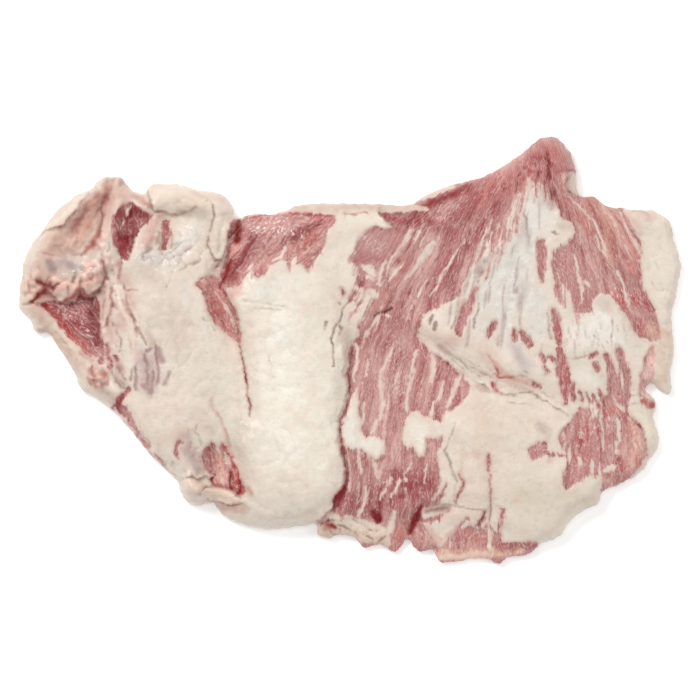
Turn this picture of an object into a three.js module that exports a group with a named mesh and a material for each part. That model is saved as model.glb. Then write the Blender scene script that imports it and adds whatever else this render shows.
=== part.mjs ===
// Pork secreto: a thin, fan-shaped cut of raw pork that lies flat with its fat side up.
// Millimetres, +Z up. The origin is on the table, under the middle of the piece's box.
// The piece is one solid: an uneven top sheet and a flat underside that meet along the ragged outline.
import * as THREE from "three";

// Driving dimensions
const LENGTH = 330; // left tip to right rim, along X
const WIDTH = 213; // bottom tab to the peak, along Y
const BODY_THICKNESS = 11; // of the plain sheet, away from folds and slabs
const LEAST_THICKNESS = 4; // at the bottom of the deepest crease
const EDGE_HEIGHT = 2.4; // where the top and the underside meet, above the table
const SHOULDER = 9; // run-in over which the top rises from the outline

// Facet sizes
const OUTLINE_STEP = 3.4;
const TOP_STEP = 3.9;
const BASE_STEP = 8;
const CLEAR_OF_OUTLINE = 0.62; // least inset of an inner point, as a share of its step

// Random lumps that keep the slabs from being smooth: height, and size across
const LUMPS = [
  { rise: 0.9, across: 27 },
  { rise: 0.5, across: 13 },
];

// The outline, clockwise from the left tip, in named stretches of [x, y]
const FOLDED_END = [
  [-165, 21.5], [-164.5, 30], [-163, 42.5], [-159.5, 51], [-150, 65], [-140, 75],
  [-129, 81], [-123, 86], [-114.5, 86], [-109, 80], [-102, 78],
];
const FAT_ROLL = [
  [-100, 82], [-94, 83], [-87, 83], [-75, 80], [-65, 78], [-59, 73], [-57, 65.5],
];
const TOP_EDGE = [
  [-48, 68], [-39, 67.5], [-25, 72.5], [0, 73], [25, 72.5], [33, 73.5], [36.5, 76.5],
  [50, 82], [65, 86], [75, 90.5],
];
const PEAK = [
  [85, 97.5], [91.5, 103], [98.5, 106.5], [103.5, 106], [109.5, 99], [113, 88], [114.5, 78],
];
const RIGHT_RIM = [
  [123, 76], [128, 72], [139, 70.5], [152.5, 69], [159.5, 64.5], [161.5, 55], [165, 44],
  [163.5, 29], [160.5, 16.5], [162, 0], [160, -12], [160.5, -19.5],
];
const RIM_NOTCH = [
  [156, -23], [153.5, -18.5], [150, -16], [147.5, -20], [152, -24.5],
];
const LOWER_RIGHT = [
  [152.5, -29], [151.5, -32], [154.5, -45], [150, -53.5], [144, -61.5], [131, -68],
  [126, -71], [124, -76.5], [117, -79.5], [109.5, -85.5], [105, -92], [95, -96.5],
];
const BOTTOM_TABS = [
  [89, -101.5], [78, -103], [74, -106.5], [69.5, -104], [58, -104], [45.5, -105],
  [40.5, -99], [35.5, -100.5], [28.5, -94], [22.5, -100.5], [16, -96.5], [7, -98],
  [3, -93.5], [-9, -92.5], [-16, -96], [-16.5, -86.5],
];
const SLAB_FOOT = [
  [-25, -87.5], [-41, -89], [-55, -85.5], [-64.5, -81], [-68, -75.5], [-76, -77],
  [-83, -73.5], [-87, -63.5],
];
const LOWER_LEFT = [
  [-95, -56.5], [-105, -45.5], [-115.5, -32.5], [-125, -24.5], [-134, -19], [-139, -8],
  [-148, 5], [-150, 8.5], [-156.5, 8.5], [-159.5, 14.5],
];

// Broad swellings and hollows of the sheet: centre, half sizes, turn about +Z, and rise at the middle.
// A larger corner power makes a pad more square.
const PADS = {
  leftSlab: { at: [-94, -4], half: [38, 74], turn: 12, rise: 8, corner: 2 },
  centreSlab: { at: [-29, -24], half: [33, 74], turn: 5, rise: 7, corner: 4 },
  foldedFlap: { at: [-137, 55], half: [33, 42], turn: -38, rise: 9, corner: 2 },
  flapShoulder: { at: [-106, 62], half: [18, 32], turn: -8, rise: 5, corner: 2 },
  topLeftLean: { at: [-46, 58], half: [22, 18], turn: 25, rise: 3, corner: 2 },
  fan: { at: [86, 28], half: [68, 62], turn: 0, rise: 3, corner: 2 },
  peakCap: { at: [100, 92], half: [18, 22], turn: 0, rise: 4, corner: 2 },
  lowerSlab: { at: [84, -50], half: [54, 46], turn: 6, rise: 5, corner: 2 },
  leanBelt: { at: [20, -22], half: [24, 84], turn: -12, rise: -1.5, corner: 2 },
  leftLean: { at: [-135, 6], half: [26, 32], turn: 40, rise: -5, corner: 2 },
  footHollow: { at: [-62, -63], half: [16, 19], turn: 25, rise: -5, corner: 2 },
  rightRim: { at: [156, 27], half: [24, 64], turn: -4, rise: -5, corner: 2 },
  lowerRightLean: { at: [137, -42], half: [32, 36], turn: 0, rise: -3, corner: 2 },
  topMembrane: { at: [-2, 73], half: [54, 11], turn: 0, rise: -5, corner: 2 },
  bottomTabs: { at: [36, -98], half: [78, 20], turn: -4, rise: -5, corner: 2 },
};

// Ridges (rise above 0) and creases (below 0) along a path of [x, y, half width]
const FOLDS = {
  fatRoll: { rise: 4, path: [[-97, 76, 10], [-80, 75, 10], [-66, 70, 10], [-63, 58, 9], [-65, 48, 8]] },
  fatRollCrease: { rise: -4, path: [[-98, 66, 6], [-84, 65, 6], [-73, 65, 6], [-72, 54, 6], [-66, 43, 6]] },
  flapRim: { rise: 3, path: [[-158, 47, 8], [-146, 64, 9], [-130, 76, 9], [-118, 82, 8]] },
  flapPocket: { rise: -4, path: [[-120, 80, 6], [-127, 66, 8], [-138, 58, 8], [-144, 50, 7]] },
  innerFold: { rise: 3, path: [[-115, 80, 7], [-117, 66, 7], [-120, 52, 8], [-123, 40, 8]] },
  innerFoldCrease: { rise: -4, path: [[-119, 74, 6], [-125, 60, 6], [-132, 49, 6]] },
  darkLeanHollow: { rise: -4, path: [[-108, 70, 8], [-111, 58, 8], [-113, 48, 7]] },
  flapStep: { rise: -4, path: [[-161, 24, 6], [-152, 30, 6], [-142, 24, 7], [-130, 26, 7], [-122, 36, 6]] },
  leanBesideSlab: { rise: -3, path: [[-124, 24, 7], [-124, 6, 7], [-118, -12, 7], [-113, -22, 6]] },
  slabSeamHead: { rise: -5, path: [[-57, 63, 6], [-60, 52, 7], [-64, 38, 7]] },
  slabSeam: { rise: -6, path: [[-64, 38, 7], [-66, 28, 8], [-58, 10, 8], [-52, -14, 7], [-50, -32, 6]] },
  slabFootLine: { rise: -2, path: [[-69, -25, 6], [-62, -44, 6], [-56, -54, 6]] },
  footLip: { rise: 4, path: [[-82, -70, 7], [-70, -71, 7], [-56, -73, 6]] },
  centreSlabWall: {
    rise: -4,
    path: [[2, 4, 6], [-1, -16, 7], [-5, -38, 7], [-2, -58, 7], [-5, -72, 7], [-10, -80, 6]],
  },
  fanFold: { rise: -3, path: [[32, 6, 6], [44, -1, 7], [64, -16, 7], [90, -21, 7], [116, -28, 6]] },
  fanLip: { rise: 2, path: [[36, 14, 7], [52, 6, 9], [74, -8, 10], [96, -10, 8]] },
  peakCreaseRight: { rise: -3, path: [[98, 98, 6], [99, 86, 6], [101, 76, 6]] },
  peakCreaseLeft: { rise: -2, path: [[89, 92, 6], [88, 84, 6], [84, 72, 6]] },
  tabStep: { rise: -3, path: [[30, -92, 6], [36, -80, 7], [56, -77, 7], [72, -81, 6]] },
  lowerSlit: { rise: -2, path: [[69, -56, 6], [71, -72, 6], [70, -88, 6]] },
};

// Numbers that scatter the lattice cells of the lumps
const SCATTER = { x: 127.1, y: 311.7, spread: 43758.5453 };

// Smooth step from 0 at t = 0 to 1 at t = 1
function smooth(t) {
  const s = THREE.MathUtils.clamp(t, 0, 1);
  return s * s * (3 - 2 * s);
}

// Quarter-round rise from 0 at t = 0 to 1 at t = 1
function quarterRound(t) {
  const s = 1 - THREE.MathUtils.clamp(t, 0, 1);
  return Math.sqrt(1 - s * s);
}

// The stretches joined by one closed smooth curve, at even steps, in a box of exactly LENGTH by WIDTH
function makeOutline() {
  const stretches = [
    FOLDED_END, FAT_ROLL, TOP_EDGE, PEAK, RIGHT_RIM, RIM_NOTCH, LOWER_RIGHT, BOTTOM_TABS, SLAB_FOOT, LOWER_LEFT,
  ];
  const knots = stretches.flat().map(([x, y]) => new THREE.Vector3(x, y, 0));
  const curve = new THREE.CatmullRomCurve3(knots, true, "centripetal");
  const count = Math.round(curve.getLength() / OUTLINE_STEP);
  const points = curve.getSpacedPoints(count).slice(0, count).map((p) => new THREE.Vector2(p.x, p.y));
  const box = new THREE.Box2().setFromPoints(points);
  const size = box.getSize(new THREE.Vector2());
  const middle = box.getCenter(new THREE.Vector2());
  const scale = new THREE.Vector2(LENGTH / size.x, WIDTH / size.y);
  return points.map((p) => p.sub(middle).multiply(scale));
}

// Distance from p to the segment from a to b, and the share of the way along it
function toSegment(p, a, b) {
  const alongX = b.x - a.x;
  const alongY = b.y - a.y;
  const reach = (p.x - a.x) * alongX + (p.y - a.y) * alongY;
  const share = THREE.MathUtils.clamp(reach / (alongX ** 2 + alongY ** 2), 0, 1);
  const offX = p.x - a.x - share * alongX;
  const offY = p.y - a.y - share * alongY;
  return { share, distance: Math.sqrt(offX ** 2 + offY ** 2) };
}

// How far p lies inside the outline, negative outside
function insetOf(p, outline) {
  let nearest = Infinity;
  let isInside = false;
  outline.forEach((a, i) => {
    const b = outline[(i + 1) % outline.length];
    nearest = Math.min(nearest, toSegment(p, a, b).distance);
    const straddles = a.y > p.y !== b.y > p.y;
    if (straddles && p.x < a.x + ((b.x - a.x) * (p.y - a.y)) / (b.y - a.y)) isInside = !isInside;
  });
  return isInside ? nearest : -nearest;
}

// Points of an even triangular lattice that lie well inside the outline
function latticeInside(outline, step) {
  const rowStep = (step * Math.sqrt(3)) / 2;
  const rows = Math.ceil(WIDTH / 2 / rowStep);
  const columns = Math.ceil(LENGTH / 2 / step);
  const points = [];
  for (let row = -rows; row <= rows; row++) {
    for (let column = -columns; column <= columns; column++) {
      const p = new THREE.Vector2((column + (row % 2) / 2) * step, row * rowStep);
      if (insetOf(p, outline) > CLEAR_OF_OUTLINE * step) points.push(p);
    }
  }
  return points;
}

// A triangle with its circumcircle
function circled(points, corners) {
  const [a, b, c] = corners.map((i) => points[i]);
  const ab = b.clone().sub(a);
  const ac = c.clone().sub(a);
  const doubled = 2 * ab.cross(ac);
  const x = (ac.y * ab.lengthSq() - ab.y * ac.lengthSq()) / doubled;
  const y = (ab.x * ac.lengthSq() - ac.x * ab.lengthSq()) / doubled;
  return { corners, centre: new THREE.Vector2(a.x + x, a.y + y), radiusSq: x * x + y * y };
}

// Delaunay triangles of flat points, adding one point at a time, without those outside the outline
function triangulate(points, outline) {
  const far = 20 * LENGTH;
  const frame = [new THREE.Vector2(-far, -far), new THREE.Vector2(far, -far), new THREE.Vector2(0, far)];
  const all = [...points, ...frame];
  const first = points.length;
  let triangles = [circled(all, [first, first + 1, first + 2])];
  points.forEach((p, index) => {
    const rim = new Map();
    triangles = triangles.filter(({ corners, centre, radiusSq }) => {
      if (p.distanceToSquared(centre) > radiusSq) return true;
      corners.forEach((from, k) => {
        const to = corners[(k + 1) % 3];
        if (!rim.delete(`${to} ${from}`)) rim.set(`${from} ${to}`, [from, to]);
      });
      return false;
    });
    for (const [from, to] of rim.values()) triangles.push(circled(all, [from, to, index]));
  });
  return triangles
    .map(({ corners }) => corners)
    .filter((corners) => corners.every((i) => i < first))
    .filter(([a, b, c]) => {
      const middle = points[a].clone().add(points[b]).add(points[c]).divideScalar(3);
      return insetOf(middle, outline) > 0;
    });
}

// Share of a pad's rise at p: 1 in the middle, 0 past its rounded border
function padShare({ at, half, turn, corner }, p) {
  const local = p.clone().sub(new THREE.Vector2(...at));
  local.rotateAround(new THREE.Vector2(), -THREE.MathUtils.degToRad(turn));
  const reach = Math.abs(local.x / half[0]) ** corner + Math.abs(local.y / half[1]) ** corner;
  return smooth(1 - reach);
}

// Share of a fold's rise at p: 1 on its path, 0 past its half width
function foldShare({ path }, p) {
  let most = 0;
  for (let i = 0; i + 1 < path.length; i++) {
    const [fromX, fromY, fromHalf] = path[i];
    const [toX, toY, toHalf] = path[i + 1];
    const { share, distance } = toSegment(p, new THREE.Vector2(fromX, fromY), new THREE.Vector2(toX, toY));
    const half = THREE.MathUtils.lerp(fromHalf, toHalf, share);
    most = Math.max(most, smooth(1 - distance / half));
  }
  return most;
}

// Repeatable random value from -1 to 1 for one cell of a lattice
function cellValue(column, row) {
  const scattered = Math.sin(column * SCATTER.x + row * SCATTER.y) * SCATTER.spread;
  return 2 * (scattered - Math.floor(scattered)) - 1;
}

// Smooth random field from -1 to 1 whose lumps are `across` wide
function lump(p, across) {
  const column = Math.floor(p.x / across);
  const row = Math.floor(p.y / across);
  const right = smooth(p.x / across - column);
  const up = smooth(p.y / across - row);
  const below = THREE.MathUtils.lerp(cellValue(column, row), cellValue(column + 1, row), right);
  const above = THREE.MathUtils.lerp(cellValue(column, row + 1), cellValue(column + 1, row + 1), right);
  return THREE.MathUtils.lerp(below, above, up);
}

// Height of the top sheet at p, which lies `inset` inside the outline
function topHeight(p, inset) {
  let thickness = BODY_THICKNESS;
  for (const pad of Object.values(PADS)) thickness += pad.rise * padShare(pad, p);
  for (const fold of Object.values(FOLDS)) thickness += fold.rise * foldShare(fold, p);
  for (const { rise, across } of LUMPS) thickness += rise * lump(p, across);
  const body = Math.max(thickness, LEAST_THICKNESS);
  return EDGE_HEIGHT + (body - EDGE_HEIGHT) * quarterRound(inset / SHOULDER);
}

// The closed solid: the top and the underside share the points of the outline.
// The underside lies flat on the table, and lifts to the outline past its outermost inner points.
function makePiece() {
  const outline = makeOutline();
  const topInner = latticeInside(outline, TOP_STEP);
  const baseInner = latticeInside(outline, BASE_STEP);
  const edge = outline.map((p) => [p.x, p.y, EDGE_HEIGHT]);
  const top = topInner.map((p) => [p.x, p.y, topHeight(p, insetOf(p, outline))]);
  const base = baseInner.map((p) => [p.x, p.y, 0]);

  const topFaces = triangulate([...outline, ...topInner], outline);
  const baseFaces = triangulate([...outline, ...baseInner], outline);
  const underneath = (i) => (i < outline.length ? i : i + topInner.length);
  const faces = [...topFaces, ...baseFaces.map(([a, b, c]) => [a, c, b].map(underneath))];

  const geometry = new THREE.BufferGeometry();
  geometry.setAttribute("position", new THREE.Float32BufferAttribute([...edge, ...top, ...base].flat(), 3));
  geometry.setIndex(faces.flat());
  geometry.computeVertexNormals();
  return geometry;
}

const rawPork = new THREE.MeshStandardMaterial({ color: 0xd9b3a8, roughness: 0.45, metalness: 0 });

const secreto = new THREE.Mesh(makePiece(), rawPork);
secreto.name = "secreto";

const part = new THREE.Group();
part.add(secreto);

export default part;
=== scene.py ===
"""Looks of the raw pork secreto: one fine mesh of fat, lean and creases in place of the plain solid.

Places on the piece are given as (across, down) in pixels of the photograph, which looks straight down on it.
A stroke is a path of (across, down, half width); an area is a closed outline of (across, down). Where a name
holds several strokes, they are marks of one kind.
"""
import math

import bmesh
import bpy
import numpy as np
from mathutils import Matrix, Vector
from mathutils.bvhtree import BVHTree
from mathutils.geometry import delaunay_2d_cdt
from mathutils.kdtree import KDTree


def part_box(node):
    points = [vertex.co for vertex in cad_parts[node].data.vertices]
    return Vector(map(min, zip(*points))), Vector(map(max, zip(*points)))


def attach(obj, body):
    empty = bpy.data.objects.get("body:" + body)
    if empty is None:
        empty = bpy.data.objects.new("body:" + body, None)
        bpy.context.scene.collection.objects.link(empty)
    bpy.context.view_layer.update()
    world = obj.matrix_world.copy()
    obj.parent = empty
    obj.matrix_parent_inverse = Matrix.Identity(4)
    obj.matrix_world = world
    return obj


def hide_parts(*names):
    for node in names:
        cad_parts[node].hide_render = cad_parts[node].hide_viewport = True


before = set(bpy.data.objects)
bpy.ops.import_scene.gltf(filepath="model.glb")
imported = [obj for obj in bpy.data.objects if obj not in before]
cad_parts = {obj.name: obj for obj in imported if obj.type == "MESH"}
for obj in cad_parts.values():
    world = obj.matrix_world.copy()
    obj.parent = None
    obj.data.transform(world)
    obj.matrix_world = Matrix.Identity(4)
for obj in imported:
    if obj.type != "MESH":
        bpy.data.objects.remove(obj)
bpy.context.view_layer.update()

# Where the piece lies in the photograph
PHOTO_LEFT, PHOTO_RIGHT = 19.0, 680.5
PHOTO_TOP, PHOTO_BOTTOM = 136.0, 563.5
PHOTO_SIDE = 700.0

# Mesh sizes, in photograph pixels
RIM_STEP = 1.7
TOP_STEP = 1.66
BASE_STEP = 7.0
RIM_RINGS = (0.25, 0.7, 1.3)
CLEAR_OF_RIM = 2.0
SCARP_STEP = 1.5
SCARP_SIDE = 0.45
LINE_STEP = 1.6
THIN_LINE = 2.3
CLEAR_OF_LINE = 0.9
LEAST_GAP = 0.6
FARTHEST = 14.0

# Heights in metres, and the shape of the rim
RIM_HEIGHT = 0.0024
UNDERCUT_PIXELS = 9.0
CAD_SHOULDER = 0.009
LEAST_SHOULDER, MOST_SHOULDER = 0.003, 0.009
SHOULDER_SHARE = 0.6
FAT_STEP = 0.0009
LEAST_HEIGHT = 0.0012

# Fat over the lean ground, as areas
FAT_AREAS = {
    "left body": [
        (0, 120), (300, 195), (378, 203), (378, 213), (384, 220), (392, 227), (384, 229), (374, 226),
        (366, 230), (360, 237), (356, 246), (355, 252), (350, 257), (351, 263), (357, 268), (358, 276),
        (357, 286), (364, 291), (375, 297), (371, 303), (364, 317), (357, 327), (358, 338), (352, 343),
        (349, 349), (348, 362), (347, 374), (349, 395), (344, 410), (340, 422), (339, 432), (341, 445),
        (344, 458), (346, 468), (344, 480), (340, 488), (333, 497), (331, 510), (318, 522), (330, 560),
        (0, 560),
    ],
    "right body": [
        (528, 180), (525, 200), (521, 215), (513, 228), (503, 240), (494, 247), (486, 252), (478, 262),
        (470, 268), (464, 278), (461, 288), (455, 299), (447, 303), (437, 308), (428, 313), (422, 320),
        (420, 330), (416, 336), (428, 350), (440, 357), (450, 365), (462, 376), (469, 384), (468, 393),
        (462, 402), (452, 410), (444, 414), (441, 424), (440, 445), (438, 460), (439, 480), (437, 495),
        (428, 504), (422, 509), (421, 518), (424, 530), (431, 541), (440, 546), (449, 538), (457, 529),
        (470, 527), (480, 528), (486, 524), (494, 527), (497, 533), (503, 541), (520, 542), (537, 542),
        (545, 560), (700, 560), (700, 180), (640, 195), (621, 207), (626, 217), (630, 226), (635, 235),
        (639, 245), (642, 257), (639, 261), (640, 268), (641, 286), (647, 294), (652, 306), (656, 320),
        (660, 328), (660, 338), (650, 343), (636, 335), (628, 318), (620, 310), (612, 298), (600, 294),
        (592, 300), (592, 313), (573, 313), (571, 298), (566, 290), (561, 283), (557, 276), (553, 266),
        (551, 256), (553, 251), (559, 249), (564, 245), (566, 240), (571, 237), (575, 232), (574, 226),
        (570, 222), (563, 219), (560, 213), (556, 206), (552, 198), (546, 190), (536, 184),
    ],
}

# Lean that shows through the fat, as areas
LEAN_AREAS = {
    "top wedge": [
        (232, 219), (242, 218), (250, 214), (275, 214), (300, 211), (335, 214), (334, 222), (329, 231),
        (326, 240), (321, 250), (315, 260), (312, 269), (305, 270), (300, 265), (297, 256), (293, 262),
        (290, 272), (287, 266), (288, 256), (291, 248), (286, 247), (281, 253), (274, 263), (266, 272),
        (259, 279), (255, 276), (256, 266), (250, 270), (245, 276), (240, 283), (233, 288), (217, 289),
        (219, 278), (226, 262), (228, 250), (228, 235),
    ],
    "strip between slabs": [
        (197, 283), (200, 278), (208, 276), (216, 276), (222, 279), (224, 287), (228, 295), (232, 304),
        (236, 314), (239, 325), (240, 336), (239, 343), (230, 336), (222, 330), (214, 321), (209, 310),
        (206, 300), (203, 292),
    ],
    "left triangle": [
        (40, 304), (47, 300), (57, 301), (66, 304), (73, 301), (78, 296), (81, 291), (85, 297), (98, 297),
        (101, 306), (100, 325), (102, 338), (104, 352), (98, 357), (90, 358), (82, 352), (73, 341),
        (58, 325), (48, 314),
    ],
    "dark patch": [
        (121, 206), (127, 204), (137, 206), (144, 209), (153, 220), (141, 231), (137, 240), (132, 254),
        (129, 262), (122, 260), (118, 250), (115, 236), (113, 226), (116, 216),
    ],
    "foot patch": [
        (204, 448), (212, 442), (220, 446), (228, 450), (236, 465), (247, 490), (241, 496), (232, 490),
        (215, 486), (212, 480), (214, 475), (207, 471), (201, 456),
    ],
    "lower right": [
        (572, 421), (577, 412), (582, 409), (587, 413), (590, 420), (595, 416), (600, 410), (601, 398),
        (608, 395), (618, 398), (627, 402), (627, 410), (634, 420), (642, 430), (645, 440), (646, 452),
        (642, 466), (632, 476), (620, 484), (608, 488), (602, 494), (600, 484), (603, 476), (596, 477),
        (588, 475), (582, 478), (577, 482), (571, 487), (564, 490), (560, 484), (563, 473), (566, 462),
        (564, 452), (560, 446), (557, 438), (562, 428),
    ],
    "lower right tail": [
        (527, 449), (530, 459), (536, 459), (542, 455), (547, 449), (546, 441), (538, 441), (531, 444),
    ],
}

# Lean that shows through the fat, as strokes
LEAN_STROKES = {
    "under the roll": [[(167, 223, 3.4), (167, 236, 4.6), (165, 247, 3.4)]],
    "dark patch": [[(143, 214, 4), (150, 219, 4)]],
    "around the triangle": [
        [(103, 338, 2.4), (102, 362, 2.6)], [(109, 346, 2.4), (110, 366, 2.6)],
        [(116, 357, 2.6), (117, 360, 2.6)],
    ],
    "low left": [
        [(130, 389, 3), (124, 396, 3.6), (119, 402, 4.4), (113, 407, 2)],
        [(119, 407, 3), (127, 414, 2.4)],
        [(116, 404, 3.4), (124, 408, 4), (131, 420, 3.2), (135, 427, 3), (140, 436, 3), (148, 447, 2.4)],
        [(155, 453, 1.4), (165, 464, 1.4)],
    ],
    "hook": [[(183, 441, 2), (179, 440, 2.6), (177, 447, 2.8), (178, 455, 2.2), (179, 460, 1)]],
    "column specks": [
        [(343, 290, 2), (344, 293, 2)], [(354, 293, 2.4), (350, 302, 2.4)],
        [(358, 305, 1.4), (361, 303, 1.4)],
    ],
    "fan border": [
        [(497, 236, 1.4), (491, 251, 1.2)], [(480, 240, 2.6), (473, 257, 2), (469, 266, 1)],
        [(524, 186, 1.2), (519, 214, 1.4), (516, 234, 1)], [(510, 215, 1), (507, 242, 1.2)],
    ],
    "apex": [
        [(537, 176, 2.6), (536, 186, 1.6), (534, 197, 0.8)],
        [(543, 180, 2.4), (544, 190, 1.6), (544, 202, 0.8)],
        [(549, 180, 3), (551, 194, 2.4), (555, 206, 1.2)],
    ],
    "fan strip side": [[(552, 262, 2.4), (554, 274, 3.4), (557, 286, 2)]],
    "fan streak": [
        [(476, 288, 2), (472, 296, 3), (468, 304, 4), (464, 315, 5), (460, 326, 5), (459, 333, 3)],
    ],
    "fan strip": [[(540, 243, 4.5), (541, 256, 5), (541, 270, 4.4), (541, 282, 1.6)]],
    "fan spots": [
        [(494, 324, 3), (489, 334, 4)], [(514, 329, 2), (513, 339, 3)],
        [(521, 331, 3), (525, 338, 4), (530, 346, 3)],
    ],
    "long streak": [
        [(553, 313, 3), (556, 328, 4), (559, 342, 3)], [(559, 350, 3.4), (561, 364, 6.5), (564, 382, 7)],
        [(563, 385, 4), (566, 403, 2.4)], [(572, 385, 3), (573, 400, 2)],
    ],
    "tendon spots": [
        [(541, 356, 2.6), (544, 361, 2.4)], [(549, 357, 3), (555, 361, 2.6)],
        [(543, 366, 1.4), (546, 372, 1.4)], [(533, 384, 2.6), (538, 387, 3)],
        [(493, 384, 2.4), (496, 390, 2.2)],
    ],
    "middle right": [
        [(591, 357, 3), (596, 355, 2)], [(595, 364, 3), (597, 371, 3)],
        [(605, 354, 3), (611, 372, 4.6), (615, 390, 7), (620, 404, 8)],
        [(618, 351, 3.5), (623, 366, 5), (627, 384, 4), (624, 396, 5)],
    ],
    "right tongue": [
        [(653, 348, 3), (649, 360, 6), (646, 376, 6), (642, 395, 4)], [(645, 402, 4.5), (650, 405, 5)],
    ],
    "lower slab": [
        [(445, 485, 1.6), (442, 495, 2.2), (435, 503, 1.8)],
        [(459, 473, 1.2), (462, 485, 2), (459, 494, 2), (454, 503, 1)], [(488, 456, 2), (487, 470, 2)],
        [(501, 508, 1.8), (500, 522, 2.4), (498, 545, 3.5)],
    ],
    "layer end": [[(424, 506, 2.6), (431, 503, 3)]],
    "lower layer": [
        [(421, 521, 2.4), (431, 521, 2.6), (440, 517, 2), (448, 511, 1)],
        [(422, 527, 2), (429, 534, 1.8), (434, 541, 1.4)],
        [(484, 513, 1.8), (479, 522, 2), (476, 528, 1.4)],
        [(467, 519, 1.2), (460, 527, 1.8), (450, 540, 1.6)], [(486, 524, 1.4), (487, 540, 2.4)],
        [(545, 452, 1.2), (565, 456, 2)],
    ],
    "foot patch": [[(223, 446, 3), (230, 457, 4)]],
    "fragments": [
        [(577, 391, 1.2), (582, 401, 1.6)], [(584, 393, 1), (590, 404, 1.6)],
        [(592, 396, 1.2), (598, 407, 1.8)], [(598, 389, 2), (603, 402, 3)],
        [(581, 409, 3), (588, 413, 4)],
    ],
    "bottom left stain": [[(321, 523, 2), (327, 524, 2.6), (333, 527, 1.6)]],
}

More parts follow.
